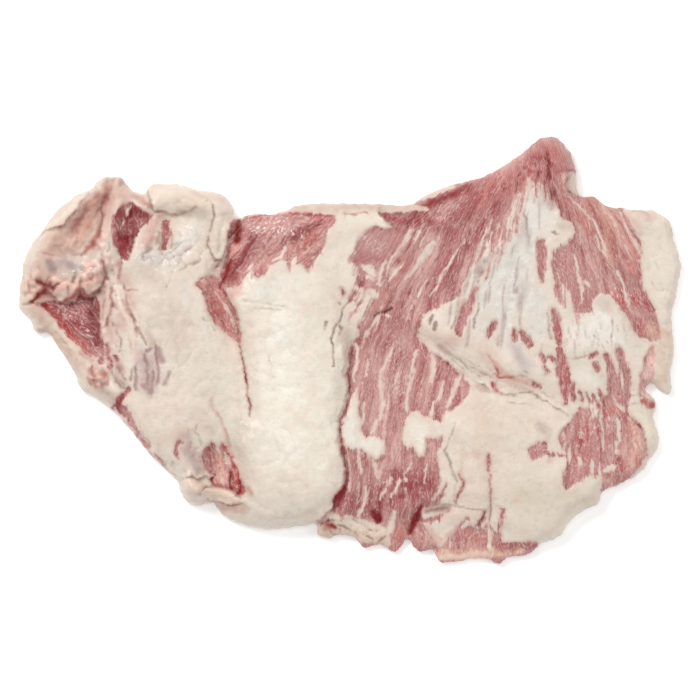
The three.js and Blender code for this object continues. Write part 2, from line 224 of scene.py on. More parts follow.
# Fat that lies over or runs through the lean, as strokes
FAT_STROKES = {
    "top strip": [[(290, 208, 4), (350, 208, 5), (400, 208, 4), (425, 209, 2.5)]],
    "upper blotch": [[(434, 243, 2), (428, 251, 4), (422, 259, 2.6), (414, 268, 1.6), (406, 277, 1)]],
    "upper streaks": [
        [(411, 232, 1.2), (407, 240, 1.6), (403, 246, 1)], [(419, 233, 1.4), (414, 240, 1)],
        [(406, 261, 0.8), (394, 273, 1.2), (388, 281, 0.8)],
        [(386, 262, 0.8), (381, 273, 1.4), (378, 285, 1)],
        [(377, 317, 1), (370, 327, 1.6), (366, 338, 1)],
    ],
    "islands": [
        [(365, 268, 2.4), (371, 270, 4.4), (376, 275, 3)], [(367, 277, 2.6), (374, 279, 2.4)],
        [(371, 292, 4.5), (375, 295, 4)], [(385, 315, 2.4), (389, 316, 1.6)],
    ],
    "fibres": [
        [(216, 293, 0.8), (226, 308, 1.2), (233, 320, 1.2), (238, 335, 0.8)],
        [(133, 206, 0.8), (128, 213, 1.1), (125, 224, 0.8)],
    ],
    "fan border": [
        [(499, 226, 0.8), (497, 245, 1.6)], [(508, 220, 0.8), (505, 246, 1.6)],
        [(514, 198, 1), (513, 222, 1.6), (511, 246, 2)], [(519, 196, 1.6), (518, 215, 2.4)],
        [(528, 180, 1.2), (525, 198, 2), (522, 215, 2)], [(489, 240, 1), (484, 256, 1.6)],
        [(486, 230, 0.8), (478, 252, 1.4)],
    ],
    "right fan": [
        [(617, 270, 0.8), (623, 287, 1.2), (627, 302, 1.3), (629, 311, 0.8)],
        [(584, 282, 2.2), (588, 284, 2)],
        [(571, 254, 0.8), (576, 270, 1.3), (580, 290, 1.4), (581, 303, 1)],
    ],
    "lower right": [
        [(617, 421, 1), (618, 434, 2), (619, 441, 1)], [(632, 439, 0.8), (635, 452, 0.8)],
        [(616, 443, 1.4), (616, 453, 1.8)], [(613, 396, 0.8), (622, 408, 1.2), (630, 420, 0.8)],
        [(604, 470, 2.4), (611, 467, 3)], [(591, 474, 2), (598, 478, 2)],
        [(591, 461, 1.2), (592, 472, 1.6)], [(598, 462, 1), (600, 474, 1.6)],
    ],
    "belt": [
        [(345, 339, 1.4), (357, 346, 1.8), (356, 362, 1.8), (354, 381, 1)],
        [(431, 348, 3), (433, 362, 3), (432, 380, 2)],
        [
            (392, 351, 0.8), (386, 360, 1.4), (381, 375, 1.6), (380, 387, 2), (382, 402, 2),
            (379, 417, 1.8), (371, 434, 1.4),
        ],
        [(417, 350, 1.4), (411, 372, 0.9), (407, 392, 1.1), (407, 412, 1)],
        [(398, 373, 1.2), (396, 383, 1.4)],
        [(444, 381, 1), (439, 392, 1.4), (435, 402, 1.6), (432, 416, 1.2)],
        [(368, 358, 1), (366, 376, 1.2)],
        [(460, 375, 2), (455, 387, 2.2), (449, 400, 2.2), (445, 408, 2)],
        [(365, 402, 0.8), (362, 424, 1)],
    ],
    "belt foot": [
        [(375, 452, 2.4), (375, 465, 1.6), (378, 478, 1)],
        [(348, 448, 1.2), (351, 470, 0.8), (349, 490, 1)],
        [(366, 486, 1.4), (364, 503, 2.2), (358, 516, 2.6)],
        [(391, 476, 0.8), (385, 490, 1), (380, 500, 0.8)], [(399, 478, 0.8), (391, 496, 0.8)],
        [(360, 448, 1.6), (361, 470, 1.4)], [(394, 512, 2), (390, 526, 3.4), (386, 540, 3)],
        [(410, 462, 0.8), (404, 480, 1)], [(427, 462, 0.8), (424, 484, 1)],
    ],
    "bottom edge": [
        [(324, 532, 8), (342, 526, 9), (360, 530, 11), (380, 535, 10)], [(344, 517, 3), (372, 527, 4)],
        [(322, 516, 4), (329, 515, 3), (340, 517, 2)], [(489, 528, 2.4), (491, 555, 2.6)],
        [(440, 556, 3), (470, 556, 3), (486, 554, 2)], [(385, 540, 4), (388, 544, 3)],
    ],
    "peak tab": [[(571, 176, 4), (574, 186, 6), (577, 193, 4)]],
    "slope rim": [[(418, 199, 2.4), (434, 193, 3), (452, 185, 2)]],
    "fan corner": [[(428, 318, 5), (438, 314, 5)], [(424, 331, 5), (428, 342, 5)]],
    "fan gap": [[(552, 284, 2), (557, 292, 5), (560, 300, 5), (563, 306, 3)]],
    "fan strands": [
        [(567, 197, 0.8), (582, 210, 1), (593, 221, 1.1), (604, 247, 1), (608, 269, 0.7)],
        [(619, 213, 0.7), (630, 239, 1.1), (643, 258, 0.8)], [(602, 252, 0.6), (612, 268, 0.8)],
        [(573, 256, 0.6), (582, 291, 0.9)], [(600, 202, 0.6), (614, 226, 0.8)],
        [(517, 197, 0.8), (509, 226, 1.2), (502, 243, 1)], [(502, 226, 0.7), (496, 247, 1)],
    ],
    "belt strands": [
        [(406, 237, 0.6), (392, 257, 0.9), (385, 278, 0.6)],
        [(449, 262, 0.5), (435, 289, 0.9), (429, 296, 0.5)], [(426, 280, 0.6), (417, 298, 0.8)],
        [(463, 239, 0.5), (449, 264, 0.9), (438, 280, 0.5)], [(397, 262, 0.5), (389, 277, 0.8)],
        [(415, 300, 0.5), (404, 322, 0.8)],
    ],
}

# Fat patches in the lean, as areas
FAT_PATCHES = {
    "hook beside the centre slab": [
        (357, 389), (360, 402), (359, 415), (362, 430), (367, 437), (378, 437), (384, 442), (386, 454),
        (378, 460), (370, 456), (362, 449), (350, 449), (344, 442), (341, 427), (347, 412), (353, 397),
    ],
    "patch by the lower slab": [
        (405, 420), (412, 412), (418, 411), (425, 417), (440, 420), (449, 424), (447, 434), (432, 440),
        (426, 438), (424, 456), (417, 458), (413, 447), (407, 447), (401, 441),
    ],
}

# How far streaks along the grain blur the border of fat and lean, in pixels, with where
FEATHER_EVERYWHERE = 1.2
FEATHERS = [
    (5.0, [(538, 182, 10), (552, 202, 10)]),
    (3.0, [(516, 200, 20), (480, 262, 26), (446, 312, 20)]),
    (4.0, [(560, 240, 22), (560, 300, 22)]),
    (3.0, [(640, 240, 16), (648, 310, 18)]),
    (4.0, [(362, 240, 20), (352, 265, 18), (362, 310, 18)]),
    (5.0, [(235, 270, 22), (270, 258, 22), (312, 258, 18)]),
    (4.0, [(540, 446, 18), (585, 470, 24), (590, 410, 24)]),
    (3.0, [(440, 395, 26), (440, 450, 22)]),
    (3.0, [(352, 448, 16), (375, 458, 16)]),
    (4.0, [(610, 370, 30), (611, 371, 30)]),
    (4.0, [(440, 520, 24), (490, 530, 26)]),
]

# Streaks strewn along the grain by a seeded draw: how many, lengths and half widths in pixels, where
MARBLING_SEED = 7
FAT_MARBLING = [
    (7, (20, 44), (0.4, 1.0), [(512, 210, 8), (500, 235, 10), (484, 256, 9)]),
    (5, (14, 30), (0.3, 0.8), [(430, 240, 20), (410, 270, 30), (390, 310, 24)]),
    (7, (10, 26), (0.3, 0.9), [(390, 345, 30), (395, 380, 34)]),
    (3, (10, 24), (0.3, 0.6), [(358, 480, 14), (395, 485, 18)]),
    (3, (16, 30), (0.3, 0.6), [(580, 215, 20), (615, 265, 30)]),
    (9, (10, 24), (0.3, 0.9), [(580, 440, 22), (600, 430, 20)]),
    (4, (8, 20), (0.5, 0.9), [(215, 455, 12), (228, 475, 8)]),
    (8, (10, 22), (0.4, 1.0), [(430, 540, 12), (460, 545, 14)]),
]
LEAN_MARBLING = [
    (6, (24, 50), (0.5, 1.3), [(516, 215, 8), (490, 255, 12)]),
    (8, (12, 34), (0.5, 1.1), [(556, 255, 12), (570, 300, 16)]),
    (4, (8, 16), (0.5, 1.0), [(352, 280, 8), (352, 320, 8)]),
]
VEIL_MARBLING = [
    (30, (10, 44), (0.6, 2.2), [(526, 205, 14), (505, 265, 34), (485, 320, 34)]),
    (14, (10, 34), (0.8, 2.4), [(478, 268, 12), (458, 305, 12)]),
    (44, (4, 10), (0.3, 0.7), [(580, 335, 24), (600, 335, 24)]),
    (8, (6, 16), (0.5, 1.2), [(192, 440, 12), (200, 465, 10)]),
]

# Colours as they look in the photograph, 0 to 255
FAT_COLOUR = (232, 218, 203)
LEAN_COLOUR = (198, 148, 142)
VEIL_COLOUR = (166, 139, 133)
THIN_FAT_COLOUR = (222, 190, 178)
TAN = (216, 170, 157)
PALE_FIBRE = (221, 174, 166)
# Colours of painted highlights: specks on the wet lean and glints on the fat
WET_HIGHLIGHT = (240, 226, 220)
GLINT = (252, 250, 244)
BLOOD = (128, 22, 30)
DARK_RED = (150, 62, 66)
RED = (178, 74, 76)
PURPLE = (164, 112, 118)
# Colours of painted shade, laid along folds, cracks and the feet of scarps
DARK_BROWN_SHADE = (124, 84, 74)
BROWN_SHADE = (160, 116, 104)
GREY_SHADE = (168, 154, 144)

# Streaks of tone in the lean, strewn along the grain: colour, strength, how many, lengths, half widths, where
TONE_SEED = 29
PALE_TONE = (224, 190, 180)
DARK_TONE = (170, 98, 96)
TONE_STREAKS = [
    (PALE_TONE, 0.8, 40, (24, 70), (2, 6), [(440, 240, 44), (400, 300, 44), (400, 350, 40)]),
    (DARK_TONE, 0.8, 44, (24, 80), (1.5, 5), [(440, 240, 44), (400, 300, 44), (400, 350, 40)]),
    (PALE_TONE, 0.8, 40, (24, 70), (2, 6), [(395, 360, 44), (410, 420, 40), (385, 490, 40)]),
    (DARK_TONE, 0.8, 44, (20, 60), (1.5, 5), [(395, 360, 44), (410, 420, 40), (385, 490, 40)]),
    (PALE_TONE, 0.7, 30, (30, 80), (2, 7), [(598, 212, 20), (608, 250, 26), (600, 275, 20)]),
    (DARK_TONE, 0.7, 34, (24, 70), (1.5, 5), [(576, 212, 14), (605, 250, 36), (620, 280, 24)]),
    (PALE_TONE, 0.7, 26, (20, 60), (2, 6), [
        (540, 160, 14), (520, 175, 16), (495, 205, 24), (470, 235, 20),
    ]),
    (DARK_TONE, 0.7, 26, (20, 60), (1.5, 5), [
        (540, 160, 14), (520, 175, 16), (495, 200, 26), (460, 225, 24),
    ]),
    (PALE_TONE, 0.7, 20, (16, 44), (2, 5), [(580, 440, 26), (620, 430, 24), (625, 460, 18)]),
    (DARK_TONE, 0.7, 22, (16, 44), (1.5, 5), [(580, 440, 26), (610, 420, 24), (620, 460, 18)]),
    (PALE_TONE, 0.7, 14, (14, 36), (2, 5), [(245, 250, 18), (305, 240, 26)]),
    (DARK_TONE, 0.7, 14, (14, 36), (1.5, 5), [(245, 250, 18), (305, 235, 26)]),
    (PALE_TONE, 0.7, 10, (12, 30), (1.5, 3), [(60, 312, 16), (90, 330, 14)]),
    (DARK_TONE, 0.7, 12, (12, 30), (1.5, 4), [(60, 312, 16), (90, 330, 14)]),
    (PALE_TONE, 0.7, 8, (8, 20), (1, 2.4), [(132, 215, 12), (126, 246, 8)]),
    (DARK_TONE, 0.7, 10, (8, 24), (1.5, 4), [(132, 215, 14), (126, 246, 8)]),
]
TONE_SHARE = 0.8

# What the lean keeps of red, green and blue light once it is painted
LEAN_BLUSH = (1.0, 0.92, 0.92)

# Lean seen through thin fat: share, strokes
VEILS = {
    "left streaks": (0.4, [
        [(137, 362, 2), (139, 376, 2.4), (140, 392, 2)],
        [(147, 353, 1.8), (149, 368, 2), (152, 391, 2.2)], [(158, 350, 1.4), (158, 384, 1.6)],
        [(132, 368, 1.6), (133, 379, 1.6)],
    ]),
    "left haze": (0.4, [[(146, 356, 16), (150, 384, 16)]]),
    "foot haze": (0.4, [[(186, 436, 12), (200, 466, 12)]]),
    "silver pocket": (0.5, [[(55, 266, 8), (66, 261, 8), (74, 268, 6)]]),
    "wedge fingers": (0.8, [
        [(287, 258, 4), (289, 273, 3)], [(303, 264, 4), (307, 271, 4)], [(254, 268, 2.4), (252, 279, 2)],
    ]),
    "fan grey": (1.0, [
        [(464, 298, 1.6), (458, 312, 2), (452, 328, 1.6)], [(478, 303, 1.8), (473, 328, 2.2)],
        [(484, 266, 1.3), (476, 284, 1.3)], [(483, 250, 1.4), (480, 259, 1.6)],
        [(550, 232, 1.6), (558, 235, 1.6)], [(546, 314, 2), (550, 338, 2.4)],
        [(517, 289, 3.4), (516, 293, 3.4)], [(524, 370, 2), (527, 374, 2)],
        [(429, 319, 2), (432, 316, 1.8)], [(433, 328, 1.8), (436, 323, 1.6)],
        [(540, 366, 3), (544, 374, 2.4)], [(566, 246, 2.4), (557, 249, 2)],
    ]),
    "fan haze": (0.35, [
        [(522, 284, 10), (520, 302, 10)], [(512, 345, 9), (524, 368, 12)], [(540, 205, 8), (552, 205, 8)],
        [(560, 226, 8), (572, 228, 10)], [(524, 228, 6), (528, 246, 6)],
    ]),
    "column": (0.8, [
        [(341, 288, 4), (345, 294, 4)], [(350, 256, 3), (349, 263, 3)], [(355, 268, 2), (354, 275, 2)],
        [(368, 281, 2.4), (362, 302, 2.4)], [(339, 303, 2.4), (340, 304, 2.4)],
        [(340, 326, 2), (340, 334, 2)],
    ]),
    "belt side": (0.5, [
        [(440, 345, 6), (452, 356, 6)], [(432, 248, 2.4), (436, 243, 2)], [(425, 262, 2), (417, 271, 2)],
    ]),
    "lower slab": (0.4, [
        [(538, 424, 9), (546, 434, 9)], [(550, 455, 2), (545, 461, 2)], [(572, 415, 2), (576, 425, 2.4)],
    ]),
    "arch": (0.15, [
        [(600, 302, 8), (608, 306, 8)], [(632, 312, 8), (634, 322, 8)], [(636, 342, 8), (640, 344, 8)],
    ]),
    "slab shine": (0.3, [
        [(240, 420, 8), (246, 426, 8)], [(188, 323, 7), (190, 324, 7)], [(208, 312, 6), (210, 316, 6)],
    ]),
}


def dabs(spots):
    """Strokes that are no more than round spots."""
    return [[(across, down, half), (across + 1, down, half)] for across, down, half in spots]


# Knobs of torn fat: place and half width
KNOBS = dabs([
    (88, 266, 5), (95, 263, 5), (100, 270, 6), (92, 273, 6), (86, 277, 5), (98, 281, 6), (90, 284, 6),
    (95, 291, 5), (86, 291, 5), (52, 284, 5), (58, 281, 6), (63, 288, 6), (57, 293, 6), (66, 296, 6),
    (73, 297, 5), (74, 290, 5), (80, 287, 4), (62, 301, 4), (28, 278, 5), (34, 283, 5), (27, 288, 5),
    (34, 291, 5), (29, 297, 5), (37, 275, 5), (40, 287, 4), (98, 241, 4), (103, 246, 4), (97, 249, 4),
    (105, 238, 4), (110, 256, 5), (116, 264, 5), (108, 264, 4), (96, 371, 4), (100, 377, 5),
    (106, 380, 4), (93, 377, 4), (99, 384, 4),
])

# Tints of the fat: colour, strength, strokes
FAT_TINTS = {
    "centre slab": ((247, 240, 226), 1.0, [[(282, 325, 40), (282, 380, 54), (288, 440, 54)]]),
    "centre slab right": ((240, 233, 217), 0.8, [[(322, 330, 22), (328, 400, 24), (322, 470, 26)]]),
    "centre slab head": ((233, 226, 212), 0.9, [[(262, 292, 22), (310, 285, 30)]]),
    # Greyer: painted shade at the foot of the centre slab
    "centre slab foot shade": ((221, 210, 196), 0.9, [[(250, 500, 18), (295, 507, 20), (330, 500, 14)]]),
    "column": ((231, 220, 204), 0.9, [[(350, 222, 14), (344, 250, 12), (340, 275, 12)]]),
    "column foot": ((226, 211, 196), 0.8, [[(346, 322, 9), (342, 338, 8)]]),
    # The fat's own cream, made lighter to offset the shade of the slope beside it: painted light
    "slab side": ((255, 246, 230), 0.9, [[(341, 345, 6), (341, 365, 7), (341, 385, 6)]]),
    "left slab": ((221, 205, 191), 0.9, [[(150, 262, 22), (160, 295, 30), (178, 340, 34)]]),
    "left slab shine": ((228, 224, 216), 0.8, [
        [(146, 258, 14), (170, 262, 16), (195, 232, 14)], [(186, 286, 10), (188, 300, 10)],
    ]),
    "left slab right": ((231, 221, 206), 0.8, [[(200, 290, 20), (215, 360, 28), (232, 430, 14)]]),
    "left slab low": ((232, 215, 201), 0.8, [[(145, 412, 20), (180, 405, 24)]]),
    "left slab foot": ((223, 202, 186), 0.8, [[(162, 440, 14), (206, 424, 16)]]),
    "left pink": ((214, 182, 168), 0.9, [[(126, 276, 11), (134, 298, 11), (122, 325, 12)]]),
    "left ridges": ((224, 184, 172), 0.9, [[(106, 262, 10), (108, 310, 12), (112, 345, 10)]]),
    "left low edge": ((212, 184, 167), 0.9, [
        [(34, 308, 12), (52, 332, 12), (80, 366, 12), (100, 388, 8)],
    ]),
    "membrane": ((187, 163, 151), 0.9, [
        [(104, 380, 9), (106, 390, 11), (114, 398, 10)], [(112, 374, 8), (124, 384, 8)],
    ]),
    "flap": ((214, 178, 163), 0.95, [[(40, 290, 30), (60, 245, 40), (104, 215, 34), (116, 190, 24)]]),
    "flap rim": ((222, 206, 190), 0.9, [[(24, 276, 8), (36, 238, 10), (60, 208, 8), (100, 180, 10)]]),
    "flap lip": ((231, 208, 188), 1.0, [[(50, 224, 10), (62, 216, 12), (74, 205, 10), (84, 196, 8)]]),
    # The flap's own tan, darkened by painted shade in the hollow under the lip
    "flap hollow shade": ((172, 119, 106), 0.95, [[(73, 234, 6), (84, 219, 11), (90, 206, 12), (99, 195, 9)]]),
    "hollow fold": ((210, 166, 148), 0.9, [[(97, 202, 5), (92, 216, 9), (86, 232, 9), (78, 246, 8)]]),
    # Painted shade along the crevice of the inner fold
    "hollow brown shade": ((170, 116, 102), 0.9, [
        [(108, 182, 8), (107, 200, 7), (104, 216, 8), (101, 232, 7)],
    ]),
    "hollow red": ((184, 104, 98), 0.9, [[(100, 236, 4), (94, 244, 6), (87, 252, 4)]]),
    "flap peak": ((222, 187, 174), 0.9, [
        [(120, 188, 12), (126, 200, 10)], [(112, 205, 8), (108, 240, 9)],
    ]),
    "peak strip": ((232, 214, 196), 0.8, [[(107, 222, 5), (106, 244, 5)]]),
    "flap low": ((178, 140, 127), 0.85, [[(56, 250, 6), (66, 251, 8), (76, 254, 6)]]),
    "hollow foot": ((182, 124, 114), 0.9, [[(92, 246, 6), (99, 248, 7)]]),
    "purple tip": (PURPLE, 0.9, [[(121, 180, 4), (122, 184, 4)]]),
    "silver pocket": ((190, 172, 168), 0.9, [
        [(54, 266, 10), (66, 261, 12), (76, 267, 11), (84, 271, 7)],
    ]),
    "pocket corner": ((142, 120, 116), 0.9, [[(51, 264, 7), (56, 270, 7)]]),
    "clumps": ((255, 198, 183), 0.95, [[(58, 286, 14), (80, 288, 12), (94, 276, 16)]]),
    "pink clump": ((238, 190, 176), 0.9, [[(92, 266, 9), (90, 288, 9)]]),
    "left clumps": ((216, 178, 162), 0.9, [[(30, 282, 10), (36, 300, 10)]]),
    "patch top": ((194, 146, 132), 0.95, [[(133, 197, 6), (142, 200, 7), (151, 208, 5)]]),
    "patch surround": ((216, 172, 160), 0.9, [[(146, 246, 9), (152, 228, 9), (163, 214, 6)]]),
    "pink by the patch": ((206, 152, 142), 0.8, [
        [(120, 264, 6), (120, 282, 6)], [(150, 248, 5), (155, 240, 5)],
    ]),
    "roll foot": ((178, 136, 126), 0.8, [[(172, 232, 3), (172, 246, 4)], [(160, 232, 3), (159, 244, 4)]]),
    "roll": ((226, 208, 190), 0.9, [[(180, 200, 14), (205, 205, 14)]]),
    "roll head": ((234, 221, 204), 0.9, [[(156, 196, 12), (166, 199, 10)]]),
    "roll corner": ((222, 194, 176), 0.8, [[(196, 194, 8), (222, 200, 8)]]),
    "lobe": ((233, 220, 201), 0.8, [[(222, 220, 9), (222, 248, 9)]]),
    "lilac": ((210, 186, 178), 0.9, [[(146, 364, 12), (150, 384, 14)], [(186, 445, 14), (200, 468, 12)]]),
    "lilac head": ((192, 169, 153), 0.8, [[(150, 332, 6), (154, 342, 7)]]),
    "lilac ground": ((226, 200, 194), 0.9, [
        [(139, 354, 9), (145, 372, 13), (150, 387, 11)], [(158, 358, 8), (160, 377, 8)],
    ]),
    "lilac streaks": ((146, 107, 104), 0.85, [
        [(136, 366, 2.6), (137, 378, 4), (138, 390, 3)], [(146, 354, 3), (148, 370, 3.4), (150, 384, 3)],
        [(153, 371, 2.4), (154, 392, 3.4)], [(157, 345, 2.6), (159, 366, 3), (159, 385, 2.6)],
        [(132, 369, 2.4), (131, 380, 2.4)], [(149, 350, 4), (152, 349, 4)],
    ]),
    "lilac spots": ((146, 98, 102), 0.75, [
        [(160, 349, 4.4), (164, 361, 5.4)], [(171, 373, 4), (166, 384, 5)],
        [(147, 386, 5), (150, 391, 5)],
    ]),
    "lump": ((200, 152, 142), 0.8, [[(96, 371, 10), (105, 376, 10)]]),
    "lump red": ((158, 82, 80), 0.75, [
        [(92, 369, 5), (95, 374, 5)], [(96, 380, 5.6), (99, 385, 5)], [(104, 371, 5), (106, 377, 5)],
        [(103, 385, 5), (109, 381, 5)], [(90, 378, 4), (92, 384, 4)],
    ]),
    "triangle side": ((222, 178, 167), 0.8, [[(101, 345, 7), (108, 353, 9), (100, 363, 8)]]),
    "strand foot": ((178, 140, 131), 0.85, [[(116, 360, 6), (122, 370, 8)]]),
    "triangle foot": ((192, 134, 124), 0.85, [[(82, 354, 4), (92, 360, 7)]]),
    "torn red": ((182, 118, 108), 0.85, [[(47, 293, 9), (55, 299, 8)]]),
    "knot side": ((226, 182, 170), 0.85, [[(230, 283, 8), (240, 288, 8), (232, 296, 7)]]),
    "lip lobes": ((225, 199, 180), 0.9, [[(190, 486, 14), (215, 494, 12), (235, 500, 10)]]),
    "patch foot": ((186, 144, 129), 0.8, [[(248, 487, 5), (252, 492, 5)]]),
    # Darker: painted shade under the lip, over the flap's tan
    "shade under the lip": ((202, 168, 152), 0.9, [[(214, 508, 8), (245, 508, 8)]]),
    "lower slab": ((228, 210, 193), 0.8, [[(490, 415, 40), (480, 480, 40)]]),
    "lower slab left": ((222, 204, 187), 0.7, [[(478, 412, 18), (484, 420, 18)]]),
    "lower slab middle": ((234, 217, 200), 0.8, [[(520, 425, 24), (548, 420, 20)]]),
    "lower slab foot": ((222, 210, 191), 0.9, [[(522, 495, 30), (560, 500, 28), (590, 500, 22)]]),
    "fan": ((226, 221, 214), 1.0, [[(540, 205, 26), (515, 255, 38), (498, 312, 44)]]),
    "fan left": ((224, 217, 207), 0.8, [[(510, 240, 14), (498, 270, 16), (482, 296, 14)]]),
    "fan right": ((229, 222, 212), 0.9, [[(535, 300, 18), (540, 330, 16), (505, 345, 10)]]),
    "fan top": ((205, 185, 175), 0.8, [[(522, 205, 8), (518, 236, 10)], [(546, 194, 8), (548, 200, 8)]]),
    "apex": ((212, 178, 170), 0.85, [[(537, 184, 8), (544, 194, 9), (551, 206, 7)]]),
    "fan left foot": ((214, 188, 175), 0.8, [[(444, 344, 14), (458, 338, 14)]]),
    "fan corner": ((229, 215, 201), 0.8, [[(438, 322, 12), (444, 316, 12)]]),
    "fan foot": ((219, 195, 179), 0.9, [[(478, 346, 14), (500, 372, 16), (522, 388, 14)]]),
    "fan silver": ((214, 206, 203), 0.8, [[(514, 346, 10), (526, 366, 12)]]),
    "arch": ((248, 241, 231), 0.9, [[(600, 322, 24), (575, 336, 20), (615, 338, 16)]]),
    "arch top": ((220, 204, 194), 0.8, [[(600, 302, 10), (605, 306, 10)]]),
    "under the arch": ((243, 233, 220), 0.9, [[(584, 376, 16), (596, 388, 10)]]),
    "right": ((237, 226, 210), 0.8, [[(655, 245, 24), (662, 290, 24)]]),
    "right top": ((222, 196, 180), 0.9, [
        [(630, 216, 10), (636, 232, 9)], [(640, 216, 9), (652, 216, 8)],
    ]),
    "right low": ((222, 198, 178), 0.95, [[(664, 340, 12), (662, 376, 12)]]),
    "peach": ((226, 188, 166), 0.8, [[(662, 332, 8), (668, 336, 7)]]),
    "lower right edge": ((234, 223, 202), 0.9, [[(640, 412, 9), (654, 442, 8)]]),
    "layer": ((226, 204, 188), 0.9, [[(440, 514, 12), (475, 516, 14)]]),
    # Painted shade under the lower border of the slab
    "layer end": ((140, 92, 80), 0.95, [[(427, 510, 6), (436, 509, 6), (448, 508, 4)]]),
    "bottom": ((255, 217, 189), 0.95, [[(440, 552, 14), (490, 556, 14)]]),
    "bottom left edge": ((224, 199, 181), 0.9, [[(325, 532, 16), (395, 540, 16)]]),
    "stain blush": ((214, 150, 128), 0.8, [[(322, 524, 6), (334, 527, 7)]]),
    "bottom left bright": ((236, 216, 198), 0.8, [[(364, 534, 8), (378, 538, 8)]]),
    "top strip": ((210, 188, 172), 0.95, [[(290, 207, 9), (425, 208, 8)]]),
    "peak tab": ((222, 202, 184), 0.95, [[(570, 178, 10), (576, 192, 10)]]),
    "pink peak": ((226, 180, 168), 0.8, [[(561, 178, 6), (563, 190, 6)]]),
    "slab vein": ((222, 182, 170), 0.8, [[(211, 400, 4), (219, 416, 5), (226, 434, 5), (231, 450, 4)]]),
    "seam side": ((224, 186, 174), 0.7, [[(238, 340, 6), (245, 372, 6), (250, 408, 5)]]),
    "slit side": ((222, 182, 168), 0.7, [[(487, 455, 5), (488, 475, 6), (490, 500, 5), (488, 522, 5)]]),
    "belt streaks": ((236, 212, 200), 0.8, [
        [(380, 350, 20), (382, 430, 16)], [(420, 350, 24), (445, 405, 16)],
        [(370, 470, 20), (400, 490, 24)],
    ]),
    "white patches": ((240, 235, 222), 0.9, [
        [(350, 405, 12), (350, 436, 14), (374, 446, 12)], [(414, 424, 12), (422, 444, 12)],
    ]),
    "tan blotch": ((218, 188, 172), 0.8, [[(418, 264, 6), (404, 279, 5)]]),
    "tendon left": ((192, 160, 146), 0.8, [[(476, 386, 5), (488, 391, 6)]]),
    "tendon blush": ((214, 160, 148), 0.8, [
        [(494, 362, 4), (500, 374, 7), (512, 378, 6), (532, 384, 5)],
    ]),
    "lower slab blush": ((230, 200, 182), 0.6, [
        [(462, 452, 6), (470, 458, 7), (476, 448, 6)], [(512, 500, 6), (518, 503, 6)],
    ]),
    "layer pink": ((220, 174, 162), 0.85, [
        [(428, 528, 7), (438, 541, 8)], [(448, 536, 6), (456, 528, 5)],
    ]),
    "blotch": ((214, 204, 196), 0.9, [[(434, 243, 8), (422, 259, 10), (408, 276, 8)]]),
    # Paler tops of the knobs: painted highlights
    "knobs": ((255, 212, 196), 0.55, KNOBS),
    "strand tops": ((240, 215, 200), 0.85, [
        [(118, 268, 4), (117, 288, 5), (118, 308, 5)],
        [(121, 300, 4), (130, 320, 5), (136, 338, 5), (135, 358, 5)],
        [(108, 290, 4), (107, 312, 5), (104, 334, 4)], [(110, 345, 6), (116, 347, 5)],
    ]),
    "slope rim": ((226, 202, 186), 0.9, [[(418, 199, 6), (434, 193, 6), (452, 185, 6)]]),
    "lobe tops": ((240, 214, 196), 0.8, [
        [(188, 482, 8), (196, 486, 8)], [(212, 492, 5), (226, 494, 6), (236, 498, 5)],
    ]),
}

